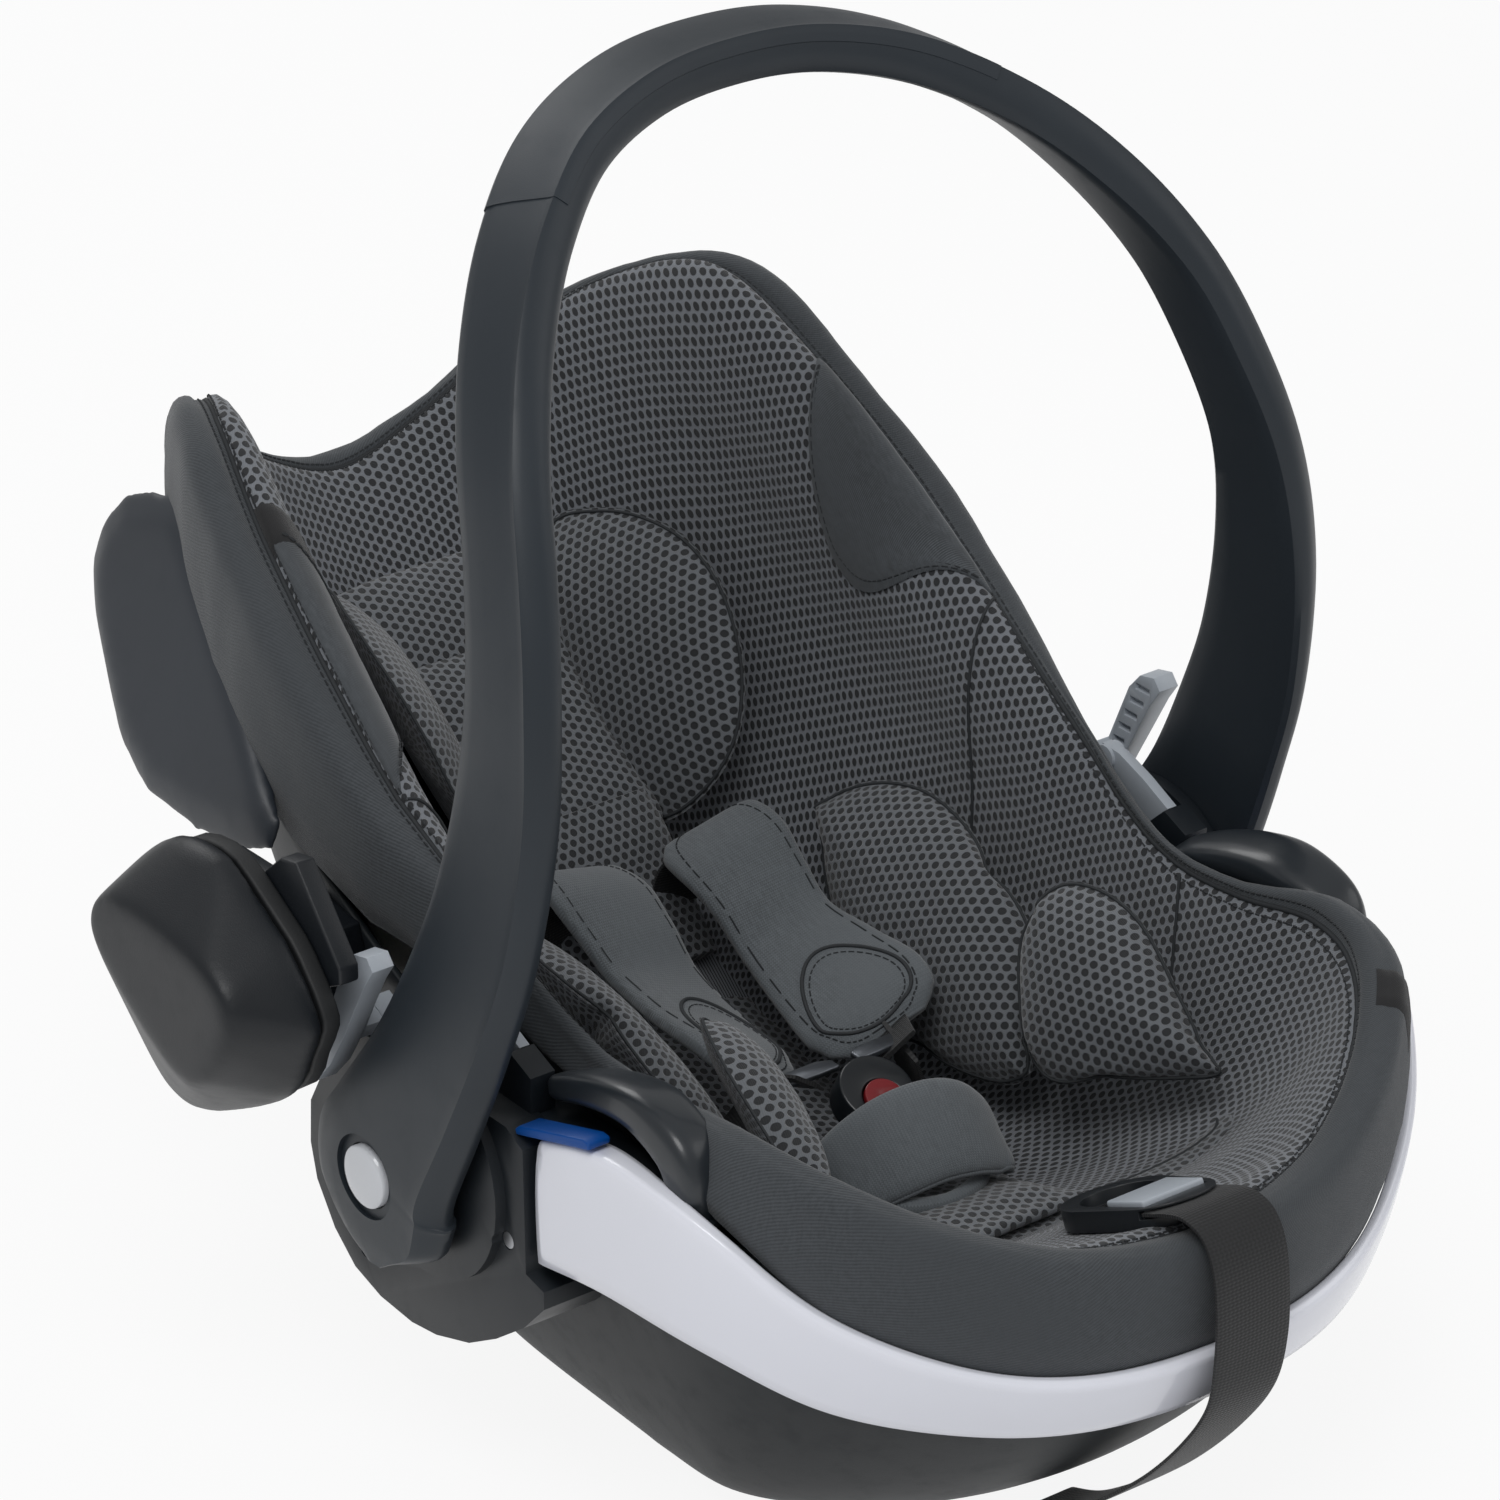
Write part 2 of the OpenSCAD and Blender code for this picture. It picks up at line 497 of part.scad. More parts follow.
// ---- Front adjuster ----
adjuster_at = [0, -228, 158.8];
adjuster_tilt = 24;
module adjuster_housing() {
  color("#1f2226") difference() {
    translate(adjuster_at) rotate([-adjuster_tilt, 0, 0]) hull() {
      translate([0, 18, 0]) cylinder(h = 9, r = 24, center = true);
      translate([0, -12, 0]) cylinder(h = 9, r = 21, center = true);
    }
    translate(adjuster_at) rotate([-adjuster_tilt, 0, 0]) {
      translate([0, 16, -1]) cylinder(h = 12, r = 17);
      translate([-16.5, -20, -1.2]) cube([33, 30, 12]);
      translate([-20, -42, 0]) cube([40, 23, 3.4]);
    }
  }
}
module adjuster_button() {
  color("#cfd1d6") translate(adjuster_at) rotate([-adjuster_tilt, 0, 0]) translate([-16, -18.6, 2.9])
    cube([32, 24, 3.6]);
}
// Pull strap of the adjuster: over the front rim, down the trim and back under the shell
PULL = [[0, -245.5, 168.5], [0, -253, 171.8], [0, -260.3, 175], [0, -270, 177.2], [0, -281, 174],
  [0, -288, 163], [0, -291, 145], [0, -291, 122], [-2, -288, 100], [-6, -276, 78], [-10, -256, 54],
  [-13, -230, 31], [-14, -206, 14], [-14, -188, 7]];
module adjuster_strap() {
  color("#17181a") loft(swept(PULL, [for (k = [0:13]) [k < 8 ? web_w : web_w - 2 * (k - 7), web_t]],
    [1, 0, 0], 26, 8, 6));
}
// ---- Headrest grip, canopy mounts, screws ----
module headrest_handle() {
  color("#2b2f33") difference() {
    translate([0, 118, 119]) rotate([39, 0, 0]) translate([-36, 161, 2]) cube([72, 26, 7]);
    translate([0, 118, 119]) rotate([39, 0, 0]) translate([-24, 168, 0]) cube([48, 12, 12]);
  }
}
module base_screws() {
  color("#8d9196") for (x = [-46, 46], y = [-30, 30]) translate([x, y, tray_h - 6.9]) {
    cylinder(h = 2.2, r = 4);
    cylinder(h = 6.6, r = 1.95);
  }
}
// ---- Side impact unit on the left ----
IMPACT_BASE = [[80, 274], [58, 274], [39, 263], [20, 252], [8, 240], [-1, 228], [-3, 219], [5, 203],
  [14, 186], [46, 166], [85, 150], [112, 162], [128, 198], [118, 243], [100, 265]];
IMPACT_FACE = [[109, 238], [102, 247], [90, 252], [63, 253], [33, 249], [15, 242], [10, 227], [21, 207],
  [39, 191], [60, 198], [80, 210], [99, 224]];
module impact_housing() {
  color("#282c31") difference() {
    hull() {
      plate_x(-246, -238, round_outline(IMPACT_BASE, 2));
      plate_x(-276, -274, round_outline(IMPACT_FACE, 2));
    }
    hull() {
      plate_x(-245, -237, [for (p = IMPACT_BASE) [60 + (p[0] - 60) * 0.93, 212 + (p[1] - 212) * 0.93]]);
      plate_x(-272, -271, [for (p = IMPACT_FACE) [62 + (p[0] - 62) * 0.88, 225 + (p[1] - 225) * 0.88]]);
    }
  }
}
module impact_cap() {
  color("#1f2226") plate_x(-237.5, -229, [for (p = round_outline(IMPACT_BASE, 2)) [60 + (p[0] - 60) * 0.97,
    212 + (p[1] - 212) * 0.97]]);
}
module impact_bracket() {
  color("#25292d") {
    plate_x(-228.6, -219, [[46, 176], [98, 176], [106, 236], [80, 264], [54, 264], [40, 277], [29, 279],
      [0, 243], [0, 236], [14, 229], [22, 222], [28, 200]]);
    plate_x(-219.5, -177, [[72, 188], [96, 188], [96, 214], [72, 214]]);
  }
}
// A sleeve on the shell's side that the bracket slides in
module impact_socket() {
  color("#25292d") difference() {
    plate_x(-196, -150, [[68, 184], [100, 184], [100, 218], [68, 218]]);
    plate_x(-200, -175, [[71.6, 187.6], [96.4, 187.6], [96.4, 214.4], [71.6, 214.4]]);
    shell_solid(0.02);
  }
}

outer_shell();
foam_liner();
seat_cover();
base_tray();
lock_bar(-bar_y);  // front_lock_bar
lock_bar(bar_y);  // rear_lock_bar
front_trim();
on_side(-1) hub_housing();  // hub_housing_left
on_side(1) hub_housing();  // hub_housing_right
on_side(-1) belt_hook();  // belt_hook_left
on_side(1) belt_hook();  // belt_hook_right
on_side(-1) belt_guide();  // belt_guide_left
on_side(1) belt_guide();  // belt_guide_right
on_side(-1) side_panel();  // side_panel_left
on_side(1) side_panel();  // side_panel_right
on_side(-1) canopy_mount();  // canopy_mount_left
on_side(1) canopy_mount();  // canopy_mount_right
on_side(-1) pivot_pin();  // pivot_pin_left
on_side(1) pivot_pin();  // pivot_pin_right
on_side(-1) handle_button();  // handle_button_left
on_side(1) handle_button();  // handle_button_right
on_side(-1) button_spring();  // button_spring_left
on_side(1) button_spring();  // button_spring_right
on_side(-1) release_lever();  // release_lever_left
on_side(1) release_lever();  // release_lever_right
on_side(-1) lever_spring();  // lever_spring_left
on_side(1) lever_spring();  // lever_spring_right
shoulder_belt_hook();
carry_handle();
handle_grip();
housing_screws();
on_side(-1) torso_bolster();  // torso_bolster_left
on_side(1) torso_bolster();  // torso_bolster_right
on_side(-1) hip_bolster();  // hip_bolster_left
on_side(1) hip_bolster();  // hip_bolster_right
on_side(-1) shoulder_pad();  // shoulder_pad_left
on_side(1) shoulder_pad();  // shoulder_pad_right
seat_pad();
head_cushion();
headrest_board();
on_side(-1) shoulder_strap();  // shoulder_strap_left
on_side(1) shoulder_strap();  // shoulder_strap_right
on_side(-1) tongue();  // tongue_left
on_side(1) tongue();  // tongue_right
on_side(-1) lap_strap();  // lap_strap_left
on_side(1) lap_strap();  // lap_strap_right
buckle();
buckle_button();
crotch_pad();
crotch_strap();
adjuster_housing();
adjuster_button();
adjuster_strap();
headrest_handle();
base_screws();
impact_socket();
impact_bracket();
impact_housing();
impact_cap();
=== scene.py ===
import functools
import math

import bmesh
import bpy
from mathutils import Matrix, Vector, noise
from mathutils.bvhtree import BVHTree


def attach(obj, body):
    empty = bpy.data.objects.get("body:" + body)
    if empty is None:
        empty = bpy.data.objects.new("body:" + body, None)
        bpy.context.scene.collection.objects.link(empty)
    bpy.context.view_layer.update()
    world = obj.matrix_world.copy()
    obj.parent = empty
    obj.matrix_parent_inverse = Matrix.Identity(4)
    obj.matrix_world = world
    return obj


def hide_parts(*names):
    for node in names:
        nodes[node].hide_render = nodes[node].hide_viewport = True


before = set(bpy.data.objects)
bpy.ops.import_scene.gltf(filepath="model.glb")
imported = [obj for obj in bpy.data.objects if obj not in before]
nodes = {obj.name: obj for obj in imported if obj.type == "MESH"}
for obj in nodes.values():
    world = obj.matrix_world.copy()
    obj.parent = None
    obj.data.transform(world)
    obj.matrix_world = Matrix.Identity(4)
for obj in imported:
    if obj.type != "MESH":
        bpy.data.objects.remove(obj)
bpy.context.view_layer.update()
bpy.ops.object.select_all(action="DESELECT")
mm = 0.001  # the numbers below are in millimetres, as on a drawing
print("frame loaded:", len(nodes), "nodes")

# ---- Camera and lamps ----
studio = {
    "target": (-0.023, -0.001, 0.278),
    "back": (-0.5510, -0.7052, 0.4462),
    "distance": 3.0,
    "lens": 175.93,
    "skyStrength": 0.46,
    "floorGlow": 0.9,  # share of plain white in what the eye sees of the floor
    "lampAim": (0, 0, 0.25),
    # place, diameter in metres and power in watts
    "lamps": {
        "keyLamp": ((-1.3, -1.1, 2.9), 1.6, 40),
        "fillLamp": ((2.2, -1.6, 1.8), 1.8, 9),
        "backLamp": ((0.3, 2.4, 2.2), 1.4, 16),
    },
}


def addCamera():
    data = bpy.data.cameras.new("camera")
    data.lens, data.sensor_width = studio["lens"], 36
    camera = bpy.data.objects.new("camera", data)
    bpy.context.scene.collection.objects.link(camera)
    back = Vector(studio["back"]).normalized()
    camera.location = Vector(studio["target"]) + back * studio["distance"]
    camera.rotation_euler = back.to_track_quat("Z", "Y").to_euler()
    bpy.context.scene.camera = camera


def addLamp(name, place, size, power):
    data = bpy.data.lights.new(name, "AREA")
    data.shape, data.size, data.energy = "DISK", size, power
    lamp = bpy.data.objects.new(name, data)
    bpy.context.scene.collection.objects.link(lamp)
    lamp.location = place
    lamp.rotation_euler = (Vector(place) - Vector(studio["lampAim"])).to_track_quat("Z", "Y").to_euler()


# ---- Finishes ----
class Wire:
    # A socket that can be added, subtracted, multiplied and fed to any other node
    def __init__(self, socket):
        self.socket = socket
        self.tree = socket.id_data

    def make(self, kind, feeds, outlet=0, **settings):
        step = self.tree.nodes.new("ShaderNode" + kind)
        for key, value in settings.items():
            setattr(step, key, value)
        for key, value in feeds.items():
            if isinstance(value, Wire):
                self.tree.links.new(value.socket, step.inputs[key])
            else:
                step.inputs[key].default_value = value
        return Wire(step.outputs[outlet])

    def math(self, kind, first, second=0.0):
        return self.make("Math", {0: first, 1: second}, operation=kind)

    def __add__(self, other):
        return self.math("ADD", self, other)

    def __radd__(self, other):
        return self.math("ADD", other, self)

    def __sub__(self, other):
        return self.math("SUBTRACT", self, other)

    def __rsub__(self, other):
        return self.math("SUBTRACT", other, self)

    def __mul__(self, other):
        return self.math("MULTIPLY", self, other)

    def cosine(self):
        return self.math("COSINE", self)

    def ramp(self, low, high):
        return self.make("MapRange", {"Value": self, "From Min": low, "From Max": high},
                         interpolation_type="SMOOTHSTEP")

    def colours(self, first, second):
        return self.make("Mix", {0: self, 6: first, 7: second}, outlet=2, data_type="RGBA")


def linear(level):
    # A screen level from 0 to 255, as a linear value
    share = level / 255
    return share / 12.92 if share < 0.04 else ((share + 0.055) / 1.055) ** 2.4


def colour(red, green, blue):
    return (linear(red), linear(green), linear(blue), 1)


def shaded(base, factor):
    # The same colour, lighter or darker
    return tuple(min(c * factor, 1) for c in base[:3]) + (1,)


def newFinish(name, **fixed):
    material = bpy.data.materials.new(name)
    material.use_nodes = True
    shader = material.node_tree.nodes["Principled BSDF"]
    for key, value in fixed.items():
        shader.inputs[key.replace("_", " ")].default_value = value
    return material, shader, Wire(shader.outputs[0])


def feed(shader, wire, socketName):
    wire.tree.links.new(wire.socket, shader.inputs[socketName])


def emboss(shader, height, strength, distance):
    bump = height.make("Bump", {"Strength": strength, "Distance": distance, "Height": height})
    feed(shader, bump, "Normal")


def plastic(name, base, rough, grain=0.45, depth=0.05, blotch=0.10, **fixed):
    # Moulded plastic: a fine spark grain, slow changes of gloss and faint handling marks
    material, shader, start = newFinish(name, **fixed)
    place = start.make("TexCoord", {}, outlet=3)
    fine = start.make("TexNoise", {"Vector": place, "Scale": 1000 / grain, "Detail": 2})
    slow = start.make("TexNoise", {"Vector": place, "Scale": 9, "Detail": 4})
    marks = start.make("TexNoise", {"Vector": place, "Scale": 60, "Detail": 6, "Roughness": 0.7})
    lit = (slow * 0.7 + fine * 0.3).ramp(0.3, 0.7)
    feed(shader, lit.colours(shaded(base, 1 - blotch), shaded(base, 1 + blotch)), "Base Color")
    feed(shader, rough - 0.05 + slow * 0.06 + marks.ramp(0.45, 0.75) * 0.06, "Roughness")
    emboss(shader, fine, depth * 4, 0.0002)
    return material


def clothWires(start):
    # Both directions of the cloth, in metres, and the place in space
    place = start.make("UVMap", {}, uv_map="UVMap")
    return (start.make("SeparateXYZ", {0: place}, outlet=0), start.make("SeparateXYZ", {0: place}, outlet=1),
            start.make("TexCoord", {}, outlet=3))


def streaks(start, place, scale):
    # Noise drawn out in one direction
    drawn = start.make("Mapping", {"Vector": place, "Scale": scale})
    return start.make("TexNoise", {"Vector": drawn, "Scale": 1, "Detail": 3})


def spacerMesh(name, thread, hole, pitch=4.8):
    # Knitted spacer fabric: a honeycomb of pores in a raised net of paler thread
    material, shader, start = newFinish(name, Roughness=0.82, Sheen_Weight=0.25, Sheen_Roughness=0.5)
    across, along, place = clothWires(start)
    turn = 4 * math.pi / (3 ** 0.5 * pitch * mm)
    wobble = start.make("TexNoise", {"Vector": place, "Scale": 260, "Detail": 2}) - 0.5
    cells = across * turn + wobble * 0.7
    net = cells.cosine() + (cells * 0.5).cosine() * (along * (turn * 0.866) + wobble * 0.7).cosine() * 2
    pore = net.ramp(-0.6, 0.15)
    strand = (along * (turn * 6) + wobble * 3).cosine() * 0.5 + 0.5
    fuzz = start.make("TexNoise", {"Vector": place, "Scale": 1800, "Detail": 2})
    slow = start.make("TexNoise", {"Vector": place, "Scale": 14, "Detail": 3})
    lit = (strand * 0.5 + fuzz * 0.5).colours(shaded(thread, 0.72), shaded(thread, 1.18))
    lit = slow.ramp(0.25, 0.8).colours(lit, shaded(thread, 0.86))
    feed(shader, pore.colours(lit, hole), "Base Color")
    height = (1 - pore) * 0.8 + strand * 0.12 + fuzz * 0.15
    emboss(shader, height, 0.75, 0.0009)
    return material


def twill(name, base, pitch=1.5):
    # Woven border cloth: fine diagonal ribs, mottled yarn and a soft nap
    material, shader, start = newFinish(name, Roughness=0.86, Sheen_Weight=0.2, Sheen_Roughness=0.45)
    across, along, place = clothWires(start)
    turn = 2 * math.pi / (pitch * mm)
    yarn = start.make("TexNoise", {"Vector": place, "Scale": 900, "Detail": 3})
    slow = start.make("TexNoise", {"Vector": place, "Scale": 11, "Detail": 3})
    streak = streaks(start, place, (160, 1100, 300))
    rib = ((across + along) * turn + yarn * 2.2).cosine() * 0.5 + 0.5
    thread = ((across - along) * (turn * 1.7) + yarn * 2).cosine() * 0.5 + 0.5
    lit = (rib * 0.35 + thread * 0.15 + yarn * 0.25 + streak * 0.55).ramp(0.3, 0.95)
    lit = lit.colours(shaded(base, 0.66), shaded(base, 1.34))
    feed(shader, slow.ramp(0.3, 0.75).colours(lit, base), "Base Color")
    height = rib * 0.6 + thread * 0.3 + yarn * 0.3
    emboss(shader, height, 0.45, 0.0004)
    return material


def knit(name, base, pitch=1.3):
    # Fine jersey: columns of small loops
    material, shader, start = newFinish(name, Roughness=0.88, Sheen_Weight=0.25, Sheen_Roughness=0.5)
    across, along, place = clothWires(start)
    turn = 2 * math.pi / (pitch * mm)
    fuzz = start.make("TexNoise", {"Vector": place, "Scale": 1400, "Detail": 3})
    slow = start.make("TexNoise", {"Vector": place, "Scale": 16, "Detail": 3})
    streak = streaks(start, place, (1000, 170, 300))
    wale = (across * turn).cosine()
    loop = (along * turn * 1.2 + wale * 1.6).cosine() * 0.5 + 0.5
    lit = (loop * 0.3 + wale * 0.1 + fuzz * 0.3 + streak * 0.6).ramp(0.3, 0.95)
    lit = lit.colours(shaded(base, 0.62), shaded(base, 1.35))
    feed(shader, slow.ramp(0.3, 0.8).colours(lit, base), "Base Color")
    height = loop * 0.6 + wale * 0.2 + fuzz * 0.3
    emboss(shader, height, 0.35, 0.0003)
    return material


def webbing(name, base):
    # Woven strap: close ribs across it and herringbone yarn
    material, shader, start = newFinish(name, Roughness=0.62, Sheen_Weight=0.15, Sheen_Roughness=0.4)
    along, across, place = clothWires(start)
    yarn = start.make("TexNoise", {"Vector": place, "Scale": 1300, "Detail": 2})
    ribTurn, cordTurn = 2 * math.pi / (1.5 * mm), 2 * math.pi / (2.1 * mm)
    rib = (along * ribTurn + yarn * 1.5).cosine() * 0.5 + 0.5
    cord = (across * cordTurn + (along * (ribTurn / 2)).cosine()).cosine() * 0.5 + 0.5
    lit = (rib * 0.45 + cord * 0.3 + yarn * 0.35).ramp(0.15, 0.95)
    feed(shader, lit.colours(shaded(base, 0.55), shaded(base, 1.5)), "Base Color")
    height = rib * 0.6 + cord * 0.4 + yarn * 0.2
    emboss(shader, height, 0.5, 0.0004)
    return material


def metal(name, base, rough):
    material, shader, start = newFinish(name, Metallic=1.0)
    place = start.make("TexCoord", {}, outlet=3)
    brushed = streaks(start, place, (900, 40, 40))
    feed(shader, brushed.colours(shaded(base, 0.85), base), "Base Color")
    feed(shader, rough + brushed * 0.12, "Roughness")
    emboss(shader, brushed, 0.1, 0.0001)
    return material


finishes = {
    "handle": plastic("handle_plastic", colour(40, 46, 52), 0.44, depth=0.04, Specular_IOR_Level=0.32),
    "grip": plastic("grip_plastic", colour(42, 48, 54), 0.48, depth=0.06, Specular_IOR_Level=0.32),
    "shell": plastic("shell_plastic", colour(22, 27, 31), 0.60, grain=0.6, depth=0.09,
                     Specular_IOR_Level=0.35),
    "trim": plastic("trim_plastic", colour(232, 234, 243), 0.22, depth=0.015, blotch=0.02, Coat_Weight=0.35),
    "panel": plastic("panel_plastic", colour(43, 48, 55), 0.48, grain=0.5, depth=0.08),
    "box": plastic("box_plastic", colour(21, 25, 30), 0.46, grain=0.6, depth=0.10, Specular_IOR_Level=0.4),
    "hub": plastic("hub_plastic", colour(23, 28, 33), 0.45, depth=0.06, Specular_IOR_Level=0.4),
    "hook": plastic("hook_plastic", colour(33, 38, 43), 0.33, depth=0.02, Coat_Weight=0.12),
    "guide": plastic("guide_plastic", colour(0, 68, 142), 0.42, depth=0.02, Specular_IOR_Level=0.3),
    "pale": plastic("grey_plastic", colour(168, 175, 183), 0.38, depth=0.05, blotch=0.04),
    "black": plastic("bezel_plastic", colour(22, 26, 30), 0.34, depth=0.04),
    "red": plastic("buckle_red", colour(120, 22, 28), 0.35, depth=0.02, blotch=0.05),
    "disc": plastic("disc_plastic", colour(205, 208, 213), 0.25, depth=0.01, blotch=0.02, Coat_Weight=0.4),
    "rubber": plastic("rubber", colour(24, 26, 28), 0.62, grain=0.8, depth=0.08),
    "foam": plastic("liner_foam", colour(226, 226, 222), 0.8, grain=2.5, depth=0.2),
    "steel": metal("steel", colour(184, 186, 190), 0.28),
    "tongue": metal("tongue_steel", colour(120, 124, 130), 0.34),
    "mesh": spacerMesh("insert_mesh", colour(106, 110, 115), colour(29, 31, 34)),
    "wing": spacerMesh("wing_mesh", colour(118, 122, 128), colour(32, 34, 37), 5.2),
    "border": twill("cover_fabric", colour(61, 65, 69)),
    "lining": twill("lining_fabric", colour(30, 31, 33), pitch=1.1),
    "pad": knit("pad_fabric", colour(87, 92, 96)),
    "patch": knit("patch_fabric", colour(66, 70, 74), pitch=1.0),
    "tag": twill("tag_fabric", colour(26, 26, 28), pitch=0.9),
    "thread": plastic("thread", colour(40, 43, 46), 0.8, grain=0.5, depth=0.2),
    "webbing": webbing("webbing", colour(19, 20, 22)),
}
print("finishes made")


# ---- Ways of making a piece ----
def pick(*pieces):
    bpy.ops.object.select_all(action="DESELECT")
    for piece in pieces:
        piece.select_set(True)
    bpy.context.view_layer.objects.active = pieces[0]


def newPiece(name, points, faces, uvs=None):
    mesh = bpy.data.meshes.new(name)
    mesh.from_pydata([tuple(p) for p in points], [], faces)
    if uvs:
        layer = mesh.uv_layers.new(name="UVMap")
        spots = [0] * len(mesh.loops)
        mesh.loops.foreach_get("vertex_index", spots)
        layer.data.foreach_set("uv", [part for k in spots for part in uvs[k]])
    piece = bpy.data.objects.new(name, mesh)
    bpy.context.scene.collection.objects.link(piece)
    return piece


def tidyNormals(piece):
    bm = bmesh.new()
    bm.from_mesh(piece.data)
    bmesh.ops.recalc_face_normals(bm, faces=bm.faces)
    bm.to_mesh(piece.data)
    bm.free()
    return piece


def dress(piece, finish, body, slotName, *cadNodes):
    if finish:
        piece.data.materials.clear()
        piece.data.materials.append(finishes[finish])
    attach(piece, body)
    if cadNodes:
        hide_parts(*cadNodes)
    return piece


def addModifier(piece, kind, **settings):
    modifier = piece.modifiers.new(kind, kind)
    for key, value in settings.items():
        setattr(modifier, key, value)
    pick(piece)
    bpy.ops.object.modifier_apply(modifier=modifier.name)


def sew(piece, body="seat", slotName="cover_fabric"):
    # Thread and piping belong to the cloth that they hold
    return dress(piece, "thread", body, slotName)


def raised(line, rise):
    # Places with their normals, lifted along those normals
    return [(spot + normal * rise, normal) for spot, normal in line]


def smooth(piece, angle=35):
    pick(piece)
    bpy.ops.object.shade_smooth_by_angle(angle=math.radians(angle))
    return piece


def cadCopy(nodeName, name, flat=4.0):
    # A merged copy of a CAD node, with its loose triangles joined into larger faces
    mesh = nodes[nodeName].data.copy()
    mesh.name = name
    piece = bpy.data.objects.new(name, mesh)
    bpy.context.scene.collection.objects.link(piece)
    pick(piece)
    bpy.ops.object.mode_set(mode="EDIT")
    bpy.ops.mesh.select_all(action="SELECT")
    bpy.ops.mesh.remove_doubles(threshold=0.00002)
    if flat:
        bpy.ops.mesh.dissolve_limited(angle_limit=math.radians(flat))
    bpy.ops.object.mode_set(mode="OBJECT")
    return piece


def roundEdges(piece, width, segments=3, angle=32):
    addModifier(piece, "BEVEL", width=width * mm, segments=segments, limit_method="ANGLE",
                angle_limit=math.radians(angle), harden_normals=False)
    return smooth(piece, 40)


def curveAt(points, t, closed=False):
    count = len(points)
    if closed:
        i = math.floor(t)
        a, b, c, d = (points[(i + k) % count] for k in (-1, 0, 1, 2))
    else:
        i = max(0, min(int(t), count - 2))
        a, b, c, d = points[max(i - 1, 0)], points[i], points[i + 1], points[min(i + 2, count - 1)]
    u = t - i
    return tuple(0.5 * (2 * q + (r - p) * u + (2 * p - 5 * q + 4 * r - s) * u * u
                        + (3 * q - p - 3 * r + s) * u ** 3) for p, q, r, s in zip(a, b, c, d))


def look(x, table):
    for (x0, y0), (x1, y1) in zip(table, table[1:]):
        if x <= x1:
            return y0 if x <= x0 else y0 + (y1 - y0) * (x - x0) / (x1 - x0)
    return table[-1][1]


def ease(x, low, high):
    u = min(max((x - low) / (high - low), 0), 1)
    return u * u * (3 - 2 * u)


def profile(count, power):
    made = []
    for k in range(count):
        angle = 2 * math.pi * (k + 0.5) / count
        c, s = math.cos(angle), math.sin(angle)
        made.append((math.copysign(abs(c) ** (2 / power), c), math.copysign(abs(s) ** (2 / power), s)))
    return made


def barFrame(path, widths, side, t):
    # Middle of a bar at one place, with its width and thickness directions and sizes
    last = len(path) - 1
    ahead = Vector(curveAt(path, min(t + 0.1, last))) - Vector(curveAt(path, max(t - 0.1, 0)))
    ahead.normalize()
    sideAxis = Vector(curveAt(side, t * (len(side) - 1) / last) if isinstance(side, list) else side)
    a = (sideAxis - ahead * sideAxis.dot(ahead)).normalized()
    wide, thick = curveAt(widths, t * (len(widths) - 1) / last)
    return Vector(curveAt(path, t)), a, ahead.cross(a), wide, thick


def sweep(name, path, widths, side, steps, section):
    # A closed bar along a smooth path: width along the side axis, then thickness
    last, count = len(path) - 1, len(section)
    points, uvs, faces = [], [], []
    travelled, before = 0.0, None
    for k in range(steps + 1):
        centre, a, b, wide, thick = barFrame(path, widths, side, k * last / steps)
        travelled += (centre - before).length if before is not None else 0
        before = centre
        for q in section:
            points.append((centre + a * q[0] * wide / 2 + b * q[1] * thick / 2) * mm)
            uvs.append((travelled * mm, q[0] * wide / 2 * mm))
    for k in range(steps):
        for i in range(count):
            j = (i + 1) % count
            faces.append((k * count + i, (k + 1) * count + i, (k + 1) * count + j, k * count + j))
    faces.append(tuple(range(count)))
    faces.append(tuple(reversed(range(steps * count, (steps + 1) * count))))
    return tidyNormals(newPiece(name, points, faces, uvs))


addCamera()

# ---- Seat cover: one padded skin over the shell, with a woven border round a mesh bowl ----
bowl = {
    "rim": [(0, -266, 166), (60, -256, 171), (108, -232, 188), (142, -198, 207), (153, -160, 213),
            (147, -110, 204), (148, -60, 205), (152, 0, 234), (152, 60, 270), (148, 115, 310), (140, 168, 346),
            (127, 218, 375), (107, 262, 363), (81, 299, 333), (44, 317, 301), (0, 322, 284)],
    "edge": [(0, -276, 118), (58, -268, 119), (106, -247, 129), (150, -212, 152), (175, -170, 178),
             (176, -115, 181), (174, -60, 181), (172, 0, 186), (171, 60, 210), (168, 115, 236), (159, 170, 260),
             (141, 220, 276), (117, 266, 278), (86, 303, 268), (46, 327, 256), (0, 336, 250)],
    "floor": [(-330, 175), (-250, 162), (-200, 140), (-150, 108), (-90, 82), (-40, 74), (10, 76), (60, 92),
              (130, 126), (200, 172), (260, 222), (310, 270), (360, 306)],
    "roll": [1, 1, 1, 1, 0.75, 0.3, 0.15, 0.3, 0.8, 1, 1, 1, 1, 1, 1, 1],  # how far the rim rolls out
    "spine": 0.45,
    "around": 300,
    "thick": 6,
    "wing": [(6.6, 0), (7.5, 0.6), (8, 0.9), (9, 1), (10, 1), (11, 0.6), (12, 0.15), (13, 0)],
    "push": [4, 9, 8, 4],  # how far the wings' outer skin stands out, from the crest down to the hem
}


def bothHalves(side):
    return side + [(-x, y, z) for x, y, z in side[-2:0:-1]]


rimLoop = bothHalves(bowl["rim"])
edgeLoop = bothHalves(bowl["edge"])
floorLine = bowl["floor"]
circuit = len(rimLoop)  # one turn round the rim, counted in its places


def outward(loop, t):
    before, after = curveAt(loop, t - 0.3, True), curveAt(loop, t + 0.3, True)
    return Vector((after[1] - before[1], before[0] - after[0], 0)).normalized()


def fold(t):
    # The same place on the right-hand half
    t = t % circuit
    return circuit - t if t > circuit / 2 else t


def onSide(t, side):
    return t if side > 0 else circuit - t


